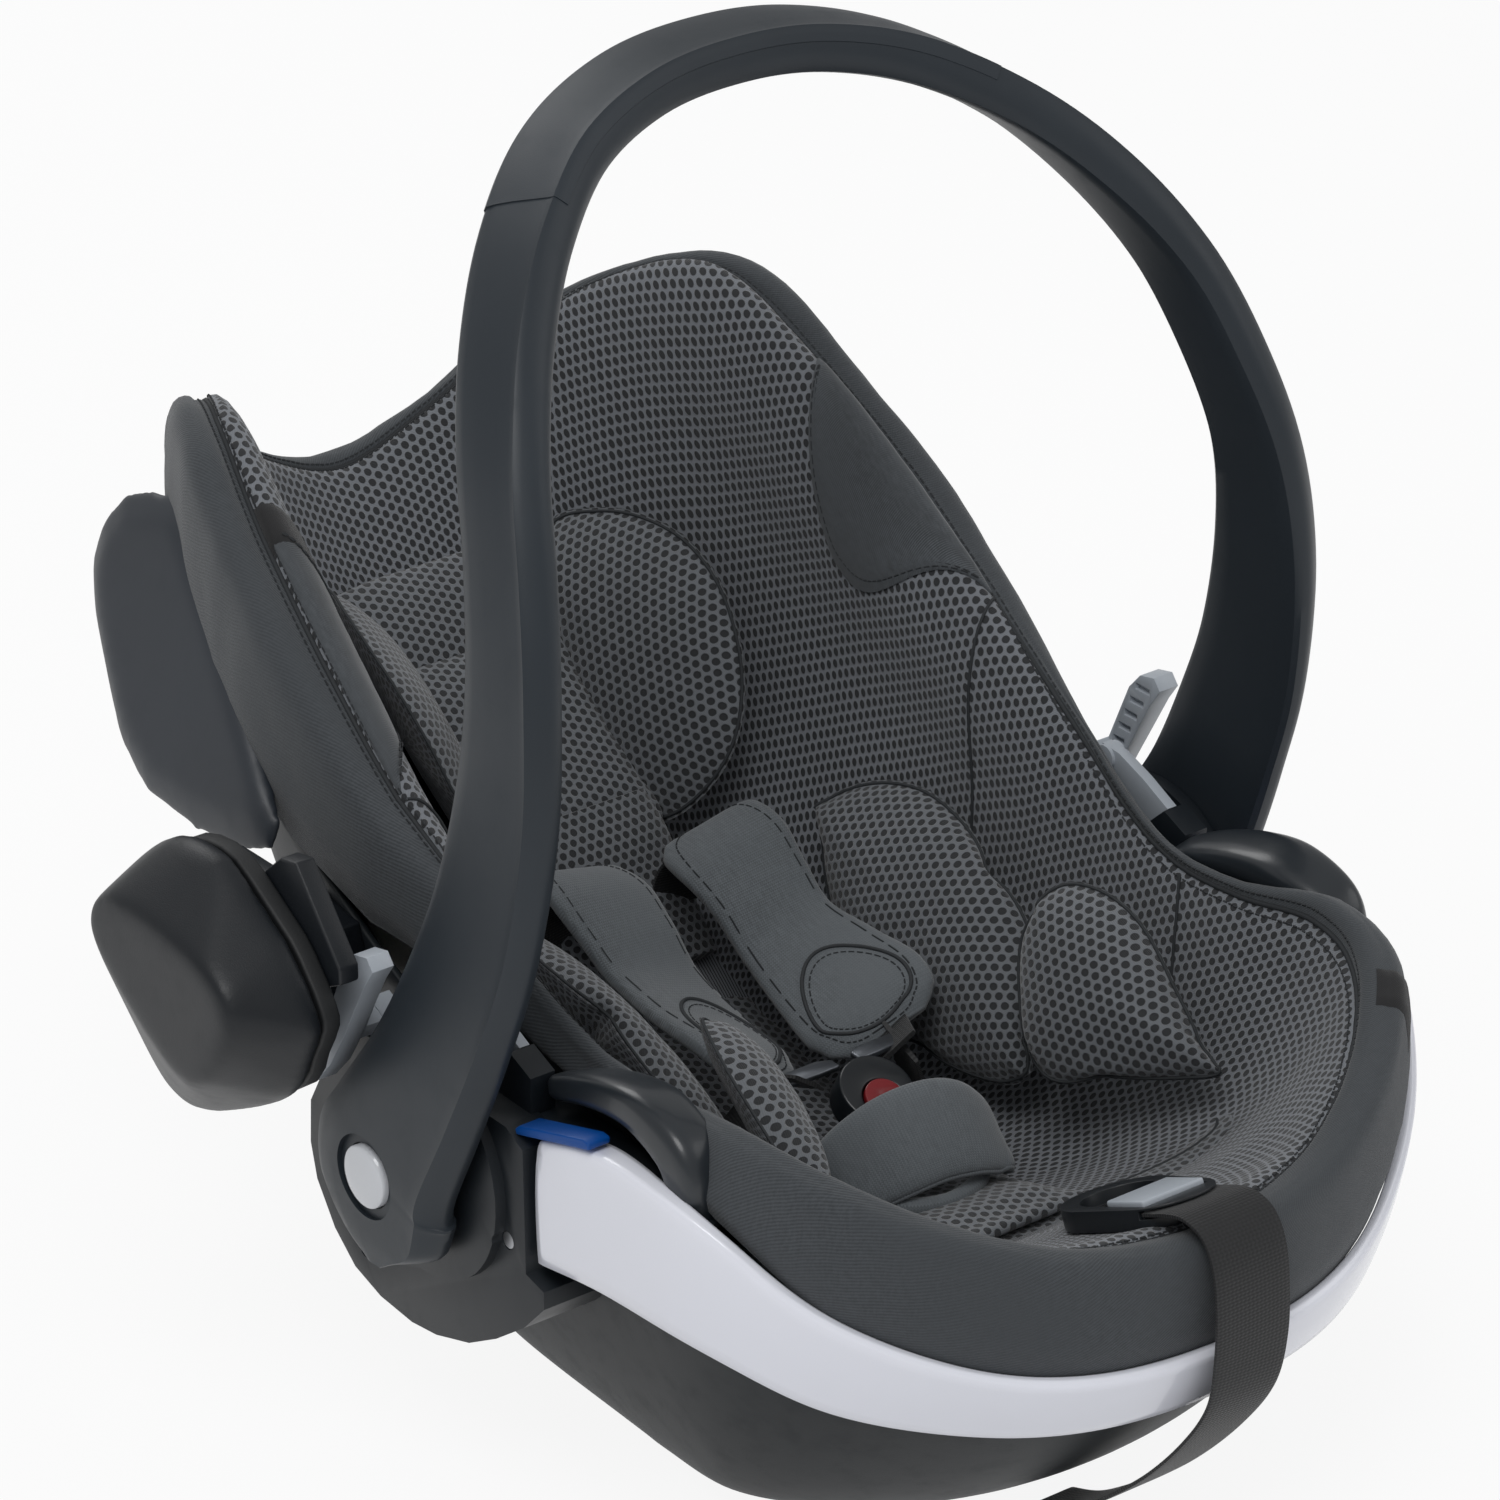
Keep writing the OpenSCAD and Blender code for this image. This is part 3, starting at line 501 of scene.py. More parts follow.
def bowlSpot(t, share, grow, drop):
    p = Vector(curveAt(rimLoop, t, True)) + grow * outward(rimLoop, t)
    y = p.y * (bowl["spine"] + (1 - bowl["spine"]) * share)
    base = look(y, floorLine) - drop
    return Vector((p.x * share, y, base + (p.z - look(p.y, floorLine)) * share ** 4.5))


@functools.lru_cache(maxsize=4096)
def coverLines(t, inside=False):
    # The cover's section at one place round the rim, from deep in the bowl to the hem under the roll
    rim, out = Vector(curveAt(rimLoop, t, True)), outward(rimLoop, t)
    edge, edgeOut = Vector(curveAt(edgeLoop, t, True)), outward(edgeLoop, t)
    roll, thick = look(fold(t), list(enumerate(bowl["roll"]))), bowl["thick"]
    up = Vector((0, 0, 1))

    def hem(grow):
        return (edge + edgeOut * grow + up * 2) * roll + (rim + out * (3 + grow) - up * 12) * (1 - roll)

    def rolled(grow, drop):
        return rim + out * (grow * roll + 0.5) - up * drop

    if inside:
        return [hem(-thick), rolled(14 - thick, 9) * 0.6 + hem(2 - thick) * 0.4,
                rim + out - up * (5 + thick),
                bowlSpot(t, 0.94, thick - 1, thick), bowlSpot(t, 0.87, thick - 1, thick),
                bowlSpot(t, 0.75, thick - 2, thick), bowlSpot(t, 0.55, 0, thick), bowlSpot(t, 0.3, 0, thick)]
    wing = look(fold(t), bowl["wing"])
    push = [Vector((math.copysign(wing * far, rim.x), 0, 0)) for far in bowl["push"]]
    return [bowlSpot(t, 0.3, 0, 0), bowlSpot(t, 0.52, 0, 0), bowlSpot(t, 0.7, 0, 0), bowlSpot(t, 0.83, 0, 0),
            bowlSpot(t, 0.92, 0, 0), rim + out * -2 - up, rolled(6, -1) + push[0], rolled(12, 4) + push[1],
            rolled(14, 8) * 0.5 + hem(2) * 0.5 + push[2], hem(0) + push[3]]


# Seams run where the woven border meets the mesh; v counts the section's lines, 5 on the crest, 9 at the hem
border = {
    "seam": [(0, 4.5), (1, 4.5), (2, 4.6), (3, 4.7), (4, 4.8), (5, 5.0), (6.5, 5.1), (8, 5.6), (11, 5.7),
             (12.5, 5.4), (15, 5.2)],
    "inner": 34, "outer": 26, "puff": 2.4, "pinch": 1.6, "folds": 3.0, "wingSwell": 3, "crest": 10,
}


def seamAt(t):
    return look(fold(t), border["seam"])


def coverSkin(t, v):
    # A place on the dressed cover and its outward direction: padding swells between the stitched lines
    v = min(max(v, 0.06), 8.94)
    before, after = curveAt(coverLines(t - 0.05), v), curveAt(coverLines(t + 0.05), v)
    low, high = curveAt(coverLines(t), v - 0.05), curveAt(coverLines(t), v + 0.05)
    normal = (Vector(high) - Vector(low)).cross(Vector(after) - Vector(before)).normalized()
    side, gap = fold(t), abs(v - seamAt(t))
    lift = border["puff"] * (1 - math.exp(-gap / 0.35)) - border["pinch"] * math.exp(-(gap / 0.10) ** 2)
    lift *= (1 - ease(v, 8.2, 9)) * ease(v, 2.5, 4.0)
    outside = ease(v, 5.4, 7.0) * (1 - ease(v, 8.0, 9.0))
    wing = ease(side, 8, 10) * (1 - ease(side, 12.5, 14))
    wave = noise.noise(Vector((t * 0.9, v * 0.45, 3.1))) + 0.5 * noise.noise(Vector((t * 2.3, v * 0.8, 7.7)))
    lift += border["crest"] * look(side, bowl["wing"]) * math.exp(-((v - 4.45) / 0.6) ** 2)
    lift += outside * wing * border["wingSwell"] + outside * ease(side, 8, 10) * wave * border["folds"]
    lift += 0.35 * noise.noise(Vector((t * 6, v * 3, 1.3))) * (1 - ease(v, 8.2, 9))
    return Vector(curveAt(coverLines(t), v)) + normal * lift, normal


def makeCover():
    around = bowl["around"]
    inner, outer = border["inner"], border["outer"]
    rows = inner + outer + 1
    points, uvs, faces, zones = [], [], [], []
    reach = 0.0
    for k in range(around):
        t = circuit * k / around
        if k:
            before = Vector(curveAt(rimLoop, t - circuit / around, True))
            reach += (Vector(curveAt(rimLoop, t, True)) - before).length
        seam, run, before = seamAt(t), 0.0, None
        for r in range(rows):
            v = seam * (r / inner) if r <= inner else seam + (9 - seam) * (r - inner) / outer
            spot = coverSkin(t, v)[0] if 0 < v < 9 else Vector(curveAt(coverLines(t), v))
            run += (spot - before).length if before is not None else 0
            before = spot
            points.append(spot * mm)
            uvs.append((reach * mm, run * mm))
    outerCount, insideRows, half = len(points), 8, around // 2
    for k in range(around):
        for spot in coverLines(circuit * k / around, True):
            points.append(spot * mm)
            uvs.append((0, 0))

    def at(k, r):
        return (k % around) * rows + r

    def under(k, r):
        return outerCount + (k % around) * insideRows + r

    for k in range(around):
        for r in range(rows - 1):
            faces.append((at(k, r), at(k + 1, r), at(k + 1, r + 1), at(k, r + 1)))
            zones.append(0 if r < inner else 1)
        faces.append((at(k, rows - 1), at(k + 1, rows - 1), under(k + 1, 0), under(k, 0)))
        zones.append(1)
        for r in range(insideRows - 1):
            faces.append((under(k, r), under(k + 1, r), under(k + 1, r + 1), under(k, r + 1)))
            zones.append(2)
    last = insideRows - 1
    for k in range(half):
        over = [at(k, 0), at(-k, 0), at(-k - 1, 0), at(k + 1, 0)]
        low = [under(k, last), under(k + 1, last), under(-k - 1, last), under(-k, last)]
        faces += [tuple(dict.fromkeys(over)), tuple(dict.fromkeys(low))]
        zones += [0, 2]
    piece = newPiece("seatCover", points, faces, uvs)
    for finish in ("wing", "border", "lining"):
        piece.data.materials.append(finishes[finish])
    piece.data.polygons.foreach_set("material_index", zones)
    dress(piece, None, "seat", "cover_fabric", "seat_cover")
    return smooth(piece, 60)


def tubeParts(spots, radius, closed, count, points, faces, uvs):
    # A thin round cord through places that each have an upward direction
    total, first, run = len(spots), len(points), 0.0
    for k, (spot, up) in enumerate(spots):
        ahead = spots[(k + 1) % total if closed else min(k + 1, total - 1)][0]
        behind = spots[(k - 1) % total if closed else max(k - 1, 0)][0]
        along = (ahead - behind).normalized()
        side = along.cross(up).normalized()
        top = side.cross(along)
        run += (spot - spots[k - 1][0]).length if k else 0
        for i in range(count):
            c, s = math.cos(2 * math.pi * i / count), math.sin(2 * math.pi * i / count)
            points.append((spot + side * (c * radius) + top * (s * radius)) * mm)
            uvs.append((run * mm, c * radius * mm))
    for k in range(total if closed else total - 1):
        for i in range(count):
            j = (i + 1) % count
            a, b = first + k * count, first + ((k + 1) % total) * count
            faces.append((a + i, a + j, b + j, b + i))
    if not closed:
        faces.append(tuple(reversed(range(first, first + count))))
        faces.append(tuple(range(first + (total - 1) * count, first + total * count)))


def tube(name, spots, radius, closed=False, count=6):
    points, faces, uvs = [], [], []
    tubeParts(spots, radius, closed, count, points, faces, uvs)
    return smooth(tidyNormals(newPiece(name, points, faces, uvs)), 80)


def stitches(name, spots, radius=0.45, every=2):
    # A row of short thread stitches, with a gap after each
    points, faces, uvs = [], [], []
    for k in range(0, len(spots) - every, every + 1):
        tubeParts(spots[k:k + every + 1], radius, False, 4, points, faces, uvs)
    return smooth(tidyNormals(newPiece(name, points, faces, uvs)), 80)


def coverPatch(name, place, rows, cols, lift):
    # A thin sewn-on piece that follows the cover: place(a, b) gives t and v for a and b from 0 to 1
    points, uvs, faces = [], [], []
    for r in range(rows + 1):
        for c in range(cols + 1):
            a, b = r / rows, c / cols
            spot, normal = coverSkin(*place(a, b))
            rise = lift * min(1, 6 * min(a, 1 - a), 6 * min(b, 1 - b)) ** 0.5
            points.append((spot + normal * (rise + 0.15)) * mm)
            uvs.append((a, b))
    for r in range(rows):
        for c in range(cols):
            k = r * (cols + 1) + c
            faces.append((k, k + 1, k + cols + 2, k + cols + 1))
    piece = newPiece(name, points, faces)
    layer = piece.data.uv_layers.new(name="UVMap")
    wide = (Vector(piece.data.vertices[0].co) - Vector(piece.data.vertices[rows * (cols + 1)].co)).length
    deep = (Vector(piece.data.vertices[0].co) - Vector(piece.data.vertices[cols].co)).length
    for loop in piece.data.loops:
        a, b = uvs[loop.vertex_index]
        layer.data[loop.index].uv = (a * wide, b * deep)
    addModifier(piece, "SOLIDIFY", thickness=0.8 * mm, offset=-1)
    return smooth(piece, 70)


cover = makeCover()
coverTree = BVHTree.FromObject(cover, bpy.context.evaluated_depsgraph_get())
print("cover made")


def seamRing(count, offset=0):
    return [coverSkin(t, seamAt(t) - offset) for t in (circuit * k / count for k in range(count))]


def sewCover():
    sew(tube("borderPiping", raised(seamRing(420), 0.6), 1.3, closed=True))
    for offset, name in ((0.16, "borderStitchInner"), (-0.2, "borderStitchOuter")):
        sew(stitches(name, raised(seamRing(1500, offset), 0.1)))


def sewLine(name, ends, rise=0.5, radius=0.7, count=40):
    # A seam straight across the cover between two places given as t and v
    (t0, v0), (t1, v1) = ends
    line = [coverSkin(t0 + (t1 - t0) * k / count, v0 + (v1 - v0) * k / count) for k in range(count + 1)]
    sew(tube(name, raised(line, rise), radius))


# Places on the cover are given as t and v, for the right-hand side
petal = {
    "start": 8.0, "length": 1.95, "lean": 0.28,
    "top": 5.5, "ends": 0.05, "depth": 1.3,
    "lift": 1.1,
    "stitches": {"Outer": 0.93, "Inner": 0.84},  # how far down the patch each row runs
    "stitchRise": 1.6,
}
seams = {"wingSeam_": ((7.95, 5.4), (7.7, 3.2)), "hipSeam_": ((5.6, 4.9), (5.0, 2.9))}
# one corner of a plain tag, how far it runs both ways, and its rows and columns
tags = {
    "wingTag": ((20.2, 5.6), (-0.36, -1.15), (10, 14)),
    "borderTag": ((2.5, 5.5), (0.36, 2.0), (8, 12)),
}


def addPetal(side, name):
    # A smooth patch sewn over the wing's crest, with its curved inner edge stitched twice
    def place(a, b):
        swell = math.sin(math.pi * min(max(a, 0), 1))
        t = petal["start"] + petal["length"] * a + petal["lean"] * b * swell
        return onSide(t, side), petal["top"] - b * (petal["ends"] + petal["depth"] * swell)

    patch = coverPatch("wingPatch_" + name, place, 30, 18, petal["lift"])
    dress(patch, "patch", "seat", "cover_fabric")
    for part, down in petal["stitches"].items():
        line = [coverSkin(*place(0.04 + 0.92 * k / 120, down)) for k in range(121)]
        row = stitches("wingPatchStitch" + part + "_" + name, raised(line, petal["stitchRise"]), 0.4)
        sew(row)


sewCover()
for side, name in ((-1, "left"), (1, "right")):
    addPetal(side, name)
    for seamName, ends in seams.items():
        sewLine(seamName + name, [(onSide(t, side), v) for t, v in ends])
for name, (corner, run, grid) in tags.items():
    tag = coverPatch(name, lambda a, b: (corner[0] + run[0] * a, corner[1] + run[1] * b), *grid, 1.0)
    dress(tag, "tag", "seat", "cover_fabric")
print("cover sewn")


# ---- Carry handle ----
handle = {
    "arm": [(207, 3, 102), (207, 3, 112), (207.5, 2, 124), (208, 0, 143), (208, -7, 160), (206, -27, 196),
            (203, -45, 236), (200, -61, 280), (196, -70, 332), (191, -68, 379), (182, -55, 421),
            (170, -35, 460), (150, -11, 494), (122, 14, 523), (85, 38, 545), (43, 51, 557), (0, 55, 560)],
    "width": [(12, 14), (48, 17), (74, 17.5), (83, 18), (75, 17.5), (67, 16.5), (63, 15.5), (60, 15), (55, 16),
              (48, 17), (44, 18), (42, 18), (40, 19), (39, 19), (38, 20), (38, 20), (38, 20)],
    # half section: crowned outer face with a crease near its front edge, and a softer inner face
    "section": [(-0.90, 0.85), (-0.97, 0.6), (-1, 0.25), (-0.99, -0.05), (-0.94, -0.38), (-0.87, -0.7),
                (-0.80, -0.95), (-0.76, -1.03), (-0.70, -1.0), (-0.6, -0.985), (-0.3, -1.0), (0.2, -1.02),
                (0.6, -0.98), (0.84, -0.88), (0.95, -0.7), (1, -0.3), (1, 0.3), (0.95, 0.75), (0.86, 0.92),
                (0.5, 1), (0, 1), (-0.5, 1), (-0.78, 0.95)],
    "cover": [(-0.93, -0.4), (-0.95, -0.45), (-0.885, -0.73), (-0.815, -0.99), (-0.765, -1.06), (-0.70, -1.04),
              (-0.6, -1.03), (-0.3, -1.045), (0.2, -1.065), (0.6, -1.025), (0.86, -0.95), (0.97, -0.74),
              (1.02, -0.4), (1.0, -0.36), (0.6, -0.5), (-0.5, -0.5)],
    "coverSpan": (13.25, 18.75),
    "coverPlaces": 60,
    "steps": 260,
    "hub": (4, 143),
    "disc": 28,
    "discFace": 217,
    "recess": (214.5, 222, 18.5),  # from and to along X, and radius
    "discHole": (207, 222),
    "domeRings": [(0.5, 0.45), (1.2, 0.4), (3, 0.55), (4, 0.3)],  # inset and rise of each ring
}


def wholeBow():
    # The handle's path and sizes from hub to hub
    arm, width = handle["arm"], handle["width"]
    return arm + [(-x, y, z) for x, y, z in arm[-2::-1]], width + width[-2::-1]


def makeHandle():
    path, widths = wholeBow()
    return sweep("handleBow", path, widths, (0, 1, 0), handle["steps"], handle["section"])


def cutRound(piece, x0, x1, radius):
    # Sinks a round recess along X at the hub into a piece
    y, z = handle["hub"]
    bpy.ops.object.select_all(action="DESELECT")
    middle = ((x0 + x1) / 2 * mm, y * mm, z * mm)
    bpy.ops.mesh.primitive_cylinder_add(vertices=64, radius=radius * mm, depth=abs(x1 - x0) * mm,
                                        location=middle, rotation=(0, math.pi / 2, 0))
    cutter = bpy.context.object
    addModifier(piece, "BOOLEAN", object=cutter, operation="DIFFERENCE", solver="EXACT")
    bpy.data.objects.remove(cutter, do_unlink=True)


def makeDisc(side, name):
    # A convex hub disc: a cylinder whose face is inset in rings that rise to the middle
    y, z = handle["hub"]
    x = side * handle["discFace"]
    bpy.ops.object.select_all(action="DESELECT")
    bpy.ops.mesh.primitive_cylinder_add(vertices=64, radius=(handle["disc"] / 2 - 0.4) * mm, depth=10 * mm,
                                        location=(0, 0, 0))
    piece = bpy.context.object
    piece.name = piece.data.name = name
    bpy.ops.object.mode_set(mode="EDIT")
    bpy.ops.mesh.select_all(action="DESELECT")
    bm = bmesh.from_edit_mesh(piece.data)
    for face in bm.faces:
        face.select_set(face.normal.z > 0.9)
    bmesh.update_edit_mesh(piece.data)
    for thickness, rise in handle["domeRings"]:
        bpy.ops.mesh.inset(thickness=thickness * mm, depth=rise * mm)
    bpy.ops.object.mode_set(mode="OBJECT")
    piece.rotation_euler = (0, side * math.pi / 2, 0)
    piece.location = ((x - side * 5.2) * mm, y * mm, z * mm)
    pick(piece)
    bpy.ops.object.transform_apply(location=True, rotation=True, scale=True)
    return smooth(piece, 60)


bow = makeHandle()
recess, discHole = handle["recess"], handle["discHole"]
for side in (-1, 1):
    cutRound(bow, side * recess[0], side * recess[1], recess[2])
    cutRound(bow, side * discHole[0], side * discHole[1], handle["disc"] / 2 + 0.2)
dress(smooth(bow, 28), "handle", "handle", "handle_plastic", "carry_handle")
for side, name in ((-1, "left"), (1, "right")):
    disc = makeDisc(side, "hubDisc_" + name)
    dress(disc, "disc", "button_" + name, "grey_plastic", "handle_button_" + name)


def makeCrownCover():
    # The separate cover on the crown wraps over the outer face and stands a little proud of it
    path, widths = wholeBow()
    low, high = handle["coverSpan"]
    count = handle["coverPlaces"]
    spots = [low + (high - low) * k / count for k in range(count + 1)]
    return sweep("crownCover", [curveAt(path, t) for t in spots], [curveAt(widths, t) for t in spots],
                 (0, 1, 0), 120, handle["cover"])


dress(smooth(makeCrownCover(), 30), "grip", "handle", "grip_plastic", "handle_grip")
print("handle made")


# ---- Moulded parts, each shaped from a merged copy of its solid ----
def roundedCopy(nodeName, name, finish, body, slotName, width, segments=3, flat=4.0, angle=32):
    piece = roundEdges(cadCopy(nodeName, name, flat), width, segments, angle)
    return dress(piece, finish, body, slotName, nodeName)


def flowingCopy(nodeName, name, finish, body, slotName, levels=2, hard=50, crease=0.85):
    # Triangles are joined into quads, edges sharper than the limit creased, and the whole subdivided
    piece = cadCopy(nodeName, name, flat=0)
    pick(piece)
    bpy.ops.object.mode_set(mode="EDIT")
    bpy.ops.mesh.select_all(action="SELECT")
    bpy.ops.mesh.tris_convert_to_quads(face_threshold=math.radians(38), shape_threshold=math.radians(80))
    bm = bmesh.from_edit_mesh(piece.data)
    layer = bm.edges.layers.float.get("crease_edge") or bm.edges.layers.float.new("crease_edge")
    for edge in bm.edges:
        if len(edge.link_faces) == 2 and edge.calc_face_angle(0) > math.radians(hard):
            edge[layer] = crease
    bmesh.update_edit_mesh(piece.data)
    bpy.ops.object.mode_set(mode="OBJECT")
    addModifier(piece, "SUBSURF", levels=levels, render_levels=levels)
    return smooth(dress(piece, finish, body, slotName, nodeName), 50)


def pebbleCopy(nodeName, name, finish, body, slotName, voxel, rounds, regain):
    # Large soft edges: a voxel remesh relaxed over and over, then grown back to size
    piece = cadCopy(nodeName, name, flat=0)
    addModifier(piece, "REMESH", mode="VOXEL", voxel_size=voxel * mm)
    addModifier(piece, "SMOOTH", factor=0.5, iterations=rounds)
    for vertex, normal in zip(piece.data.vertices, [v.normal.copy() for v in piece.data.vertices]):
        vertex.co += normal * regain * mm
    addModifier(piece, "SUBSURF", levels=1, render_levels=1)
    return smooth(dress(piece, finish, body, slotName, nodeName), 80)


flowingCopy("outer_shell", "shell", "shell", "seat", "shell_plastic", 2, 60)
flowingCopy("front_trim", "frontTrim", "trim", "seat", "trim_plastic", 2, 46, 0.7)
for side in ("left", "right"):
    roundedCopy("hub_housing_" + side, "hubHousing_" + side, "hub", "seat", "shell_plastic", 1.6)
    roundedCopy("belt_guide_" + side, "beltGuide_" + side, "guide", "seat", "guide_plastic", 0.8)
    roundedCopy("release_lever_" + side, "releaseLever_" + side, "pale", "lever_" + side, "grey_plastic",
                0.7, 2)
    roundedCopy("canopy_mount_" + side, "canopyMount_" + side, "pale", "seat", "grey_plastic", 1.0)
    pebbleCopy("side_panel_" + side, "sidePanel_" + side, "panel", "seat", "shell_plastic", 2.2, 26, 0.9)
    roundedCopy("tongue_" + side, "tongue_" + side, "tongue", "seat", "steel", 0.8, 2)
roundedCopy("shoulder_belt_hook", "shoulderBeltHook", "guide", "seat", "guide_plastic", 2.0)
roundedCopy("base_tray", "baseTray", "shell", "seat", "shell_plastic", 1.5)
roundedCopy("impact_cap", "impactCap", "rubber", "impact_unit", "grey_plastic", 1.6, 3, 4)
roundedCopy("impact_bracket", "impactBracket", "box", "impact_unit", "grey_plastic", 1.2)
roundedCopy("impact_socket", "impactSocket", "box", "seat", "grey_plastic", 1.2)
pebbleCopy("impact_housing", "impactHousing", "box", "impact_unit", "grey_plastic", 2.6, 22, 1.0)
roundedCopy("adjuster_housing", "adjusterBezel", "black", "seat", "bezel_plastic", 1.2)
roundedCopy("adjuster_button", "adjusterButton", "pale", "adjuster_release", "grey_plastic", 1.0)
roundedCopy("buckle", "buckleBody", "black", "seat", "grey_plastic", 1.2)
roundedCopy("buckle_button", "buckleButton", "red", "buckle_release", "buckle_red", 0.6)
roundedCopy("headrest_handle", "headrestHandle", "black", "headrest", "bezel_plastic", 1.2)

# The belt hooks: a broad horn that rises from its foot and bends back over the belt, on a thin base strip
hook = {
    "horn": [(168, -153, 182.4), (168, -152, 196), (168, -145, 206.5), (166, -124, 212.5), (165, -103, 210.5),
             (164, -82, 204.5), (163, -64, 197), (163, -58, 195)],
    "size": [(20, 20), (22, 21), (24, 20), (27, 18), (26, 16), (24, 14), (20, 11), (10, 5)],
    "strip": [(167, -166, 181), (166, -120, 183.6), (165, -70, 183.6), (164, -24, 184)],
}
for side, name in ((-1, "left"), (1, "right")):
    horn = sweep("beltHook_" + name, [(side * x, y, z) for x, y, z in hook["horn"]], hook["size"],
                 (1, 0, side * 0.2), 70, profile(28, 3.4))
    dress(smooth(horn, 50), "hook", "seat", "hook_plastic", "belt_hook_" + name)
    strip = sweep("beltHookStrip_" + name, [(side * x, y, z) for x, y, z in hook["strip"]], [(18, 2.4)] * 4,
                  (1, 0, 0), 24, profile(16, 6))
    dress(smooth(strip, 50), "hook", "seat", "hook_plastic")
print("moulded parts made")


# ---- Padded insert ----
# Outlines of the right-hand pads' main faces; each face looks to the middle, forwards and up
insert = {
    "pads": {
        "torsoBolster": {
            "outline": [(83, 90, 166), (89, 97, 180), (98, 85, 192), (105, 66, 200), (109, 44, 202),
                        (109, 17, 197), (106, -8, 187), (103, -28, 177), (98, -45, 163), (90, -58, 148),
                        (82, -62, 134), (74, -66, 118), (69, -48, 108), (66, -10, 106), (66, 30, 114),
                        (70, 64, 138)],
            "face": (-0.86, -0.1, 0.5), "crown": 15, "depth": 30, "cap": 7,
        },
        "hipBolster": {
            "outline": [(85, -54, 194), (92, -58, 202), (99, -67, 206), (105, -83, 204), (108, -101, 195),
                        (107, -124, 177), (106, -142, 162), (103, -156, 150), (91, -139, 143), (77, -113, 136),
                        (65, -91, 131), (63, -74, 143), (69, -62, 162), (77, -54, 180)],
            "face": (-0.8, -0.35, 0.49), "crown": 15, "depth": 30, "cap": 7,
        },
        "headBolster": {
            "outline": [(61, 246, 272), (71, 226, 280), (79, 207, 281), (85, 183, 276), (86, 160, 263),
                        (83, 142, 243), (78, 132, 222), (69, 127, 202), (59, 131, 184), (48, 141, 169),
                        (40, 156, 162), (36, 176, 166), (37, 200, 190), (43, 228, 226), (51, 244, 255)],
            "face": (-0.85, -0.3, 0.42), "crown": 13, "depth": 22, "cap": 6,
        },
    },
    "around": 84,
    "rings": 9,
    "backs": [0.25, 0.5, 0.75, 1.0],
    "pressure": 4.0,
    "frames": 20,
    "roll": [(108, -136), (107, -148), (98, -158), (82, -158), (64, -151), (46, -144), (24, -139), (0, -137)],
    "rollWidth": [(22, 14), (34, 22), (42, 27), (48, 30), (52, 31), (52, 31), (52, 30), (50, 29)],
    "rollLift": 12,
    "rollFrom": 260,  # height from which the cover is sought
}


def inflate(piece, cap):
    # Air pressure in the cloth solver; no point moves further than the cap
    mesh = piece.data
    start = [v.co.copy() for v in mesh.vertices]
    cloth = piece.modifiers.new("cloth", "CLOTH")
    settings = cloth.settings
    settings.quality, settings.mass = 5, 0.2
    settings.use_pressure, settings.uniform_pressure_force = True, insert["pressure"]
    settings.effector_weights.gravity = 0
    settings.tension_stiffness = settings.compression_stiffness = 12
    scene = bpy.context.scene
    for step in range(1, insert["frames"] + 1):
        scene.frame_set(step)
    ends = [v.co.copy() for v in piece.evaluated_get(bpy.context.evaluated_depsgraph_get()).data.vertices]
    piece.modifiers.remove(cloth)
    scene.frame_set(1)
    for vertex, before, after in zip(mesh.vertices, start, ends):
        move = after - before
        vertex.co = before + move * min(1, cap * mm / max(move.length, 1e-9))


def room(spot, back, most):
    # How far a pad can reach back from a place before it meets the cover, both in millimetres
    nearest, normal = coverTree.find_nearest(spot * mm)[:2]
    if (spot * mm - nearest).dot(normal) < 0:
        return 1.5
    far = coverTree.ray_cast(spot * mm, back, most * mm)[3]
    return most if far is None else max(1.0, far / mm - 0.6)


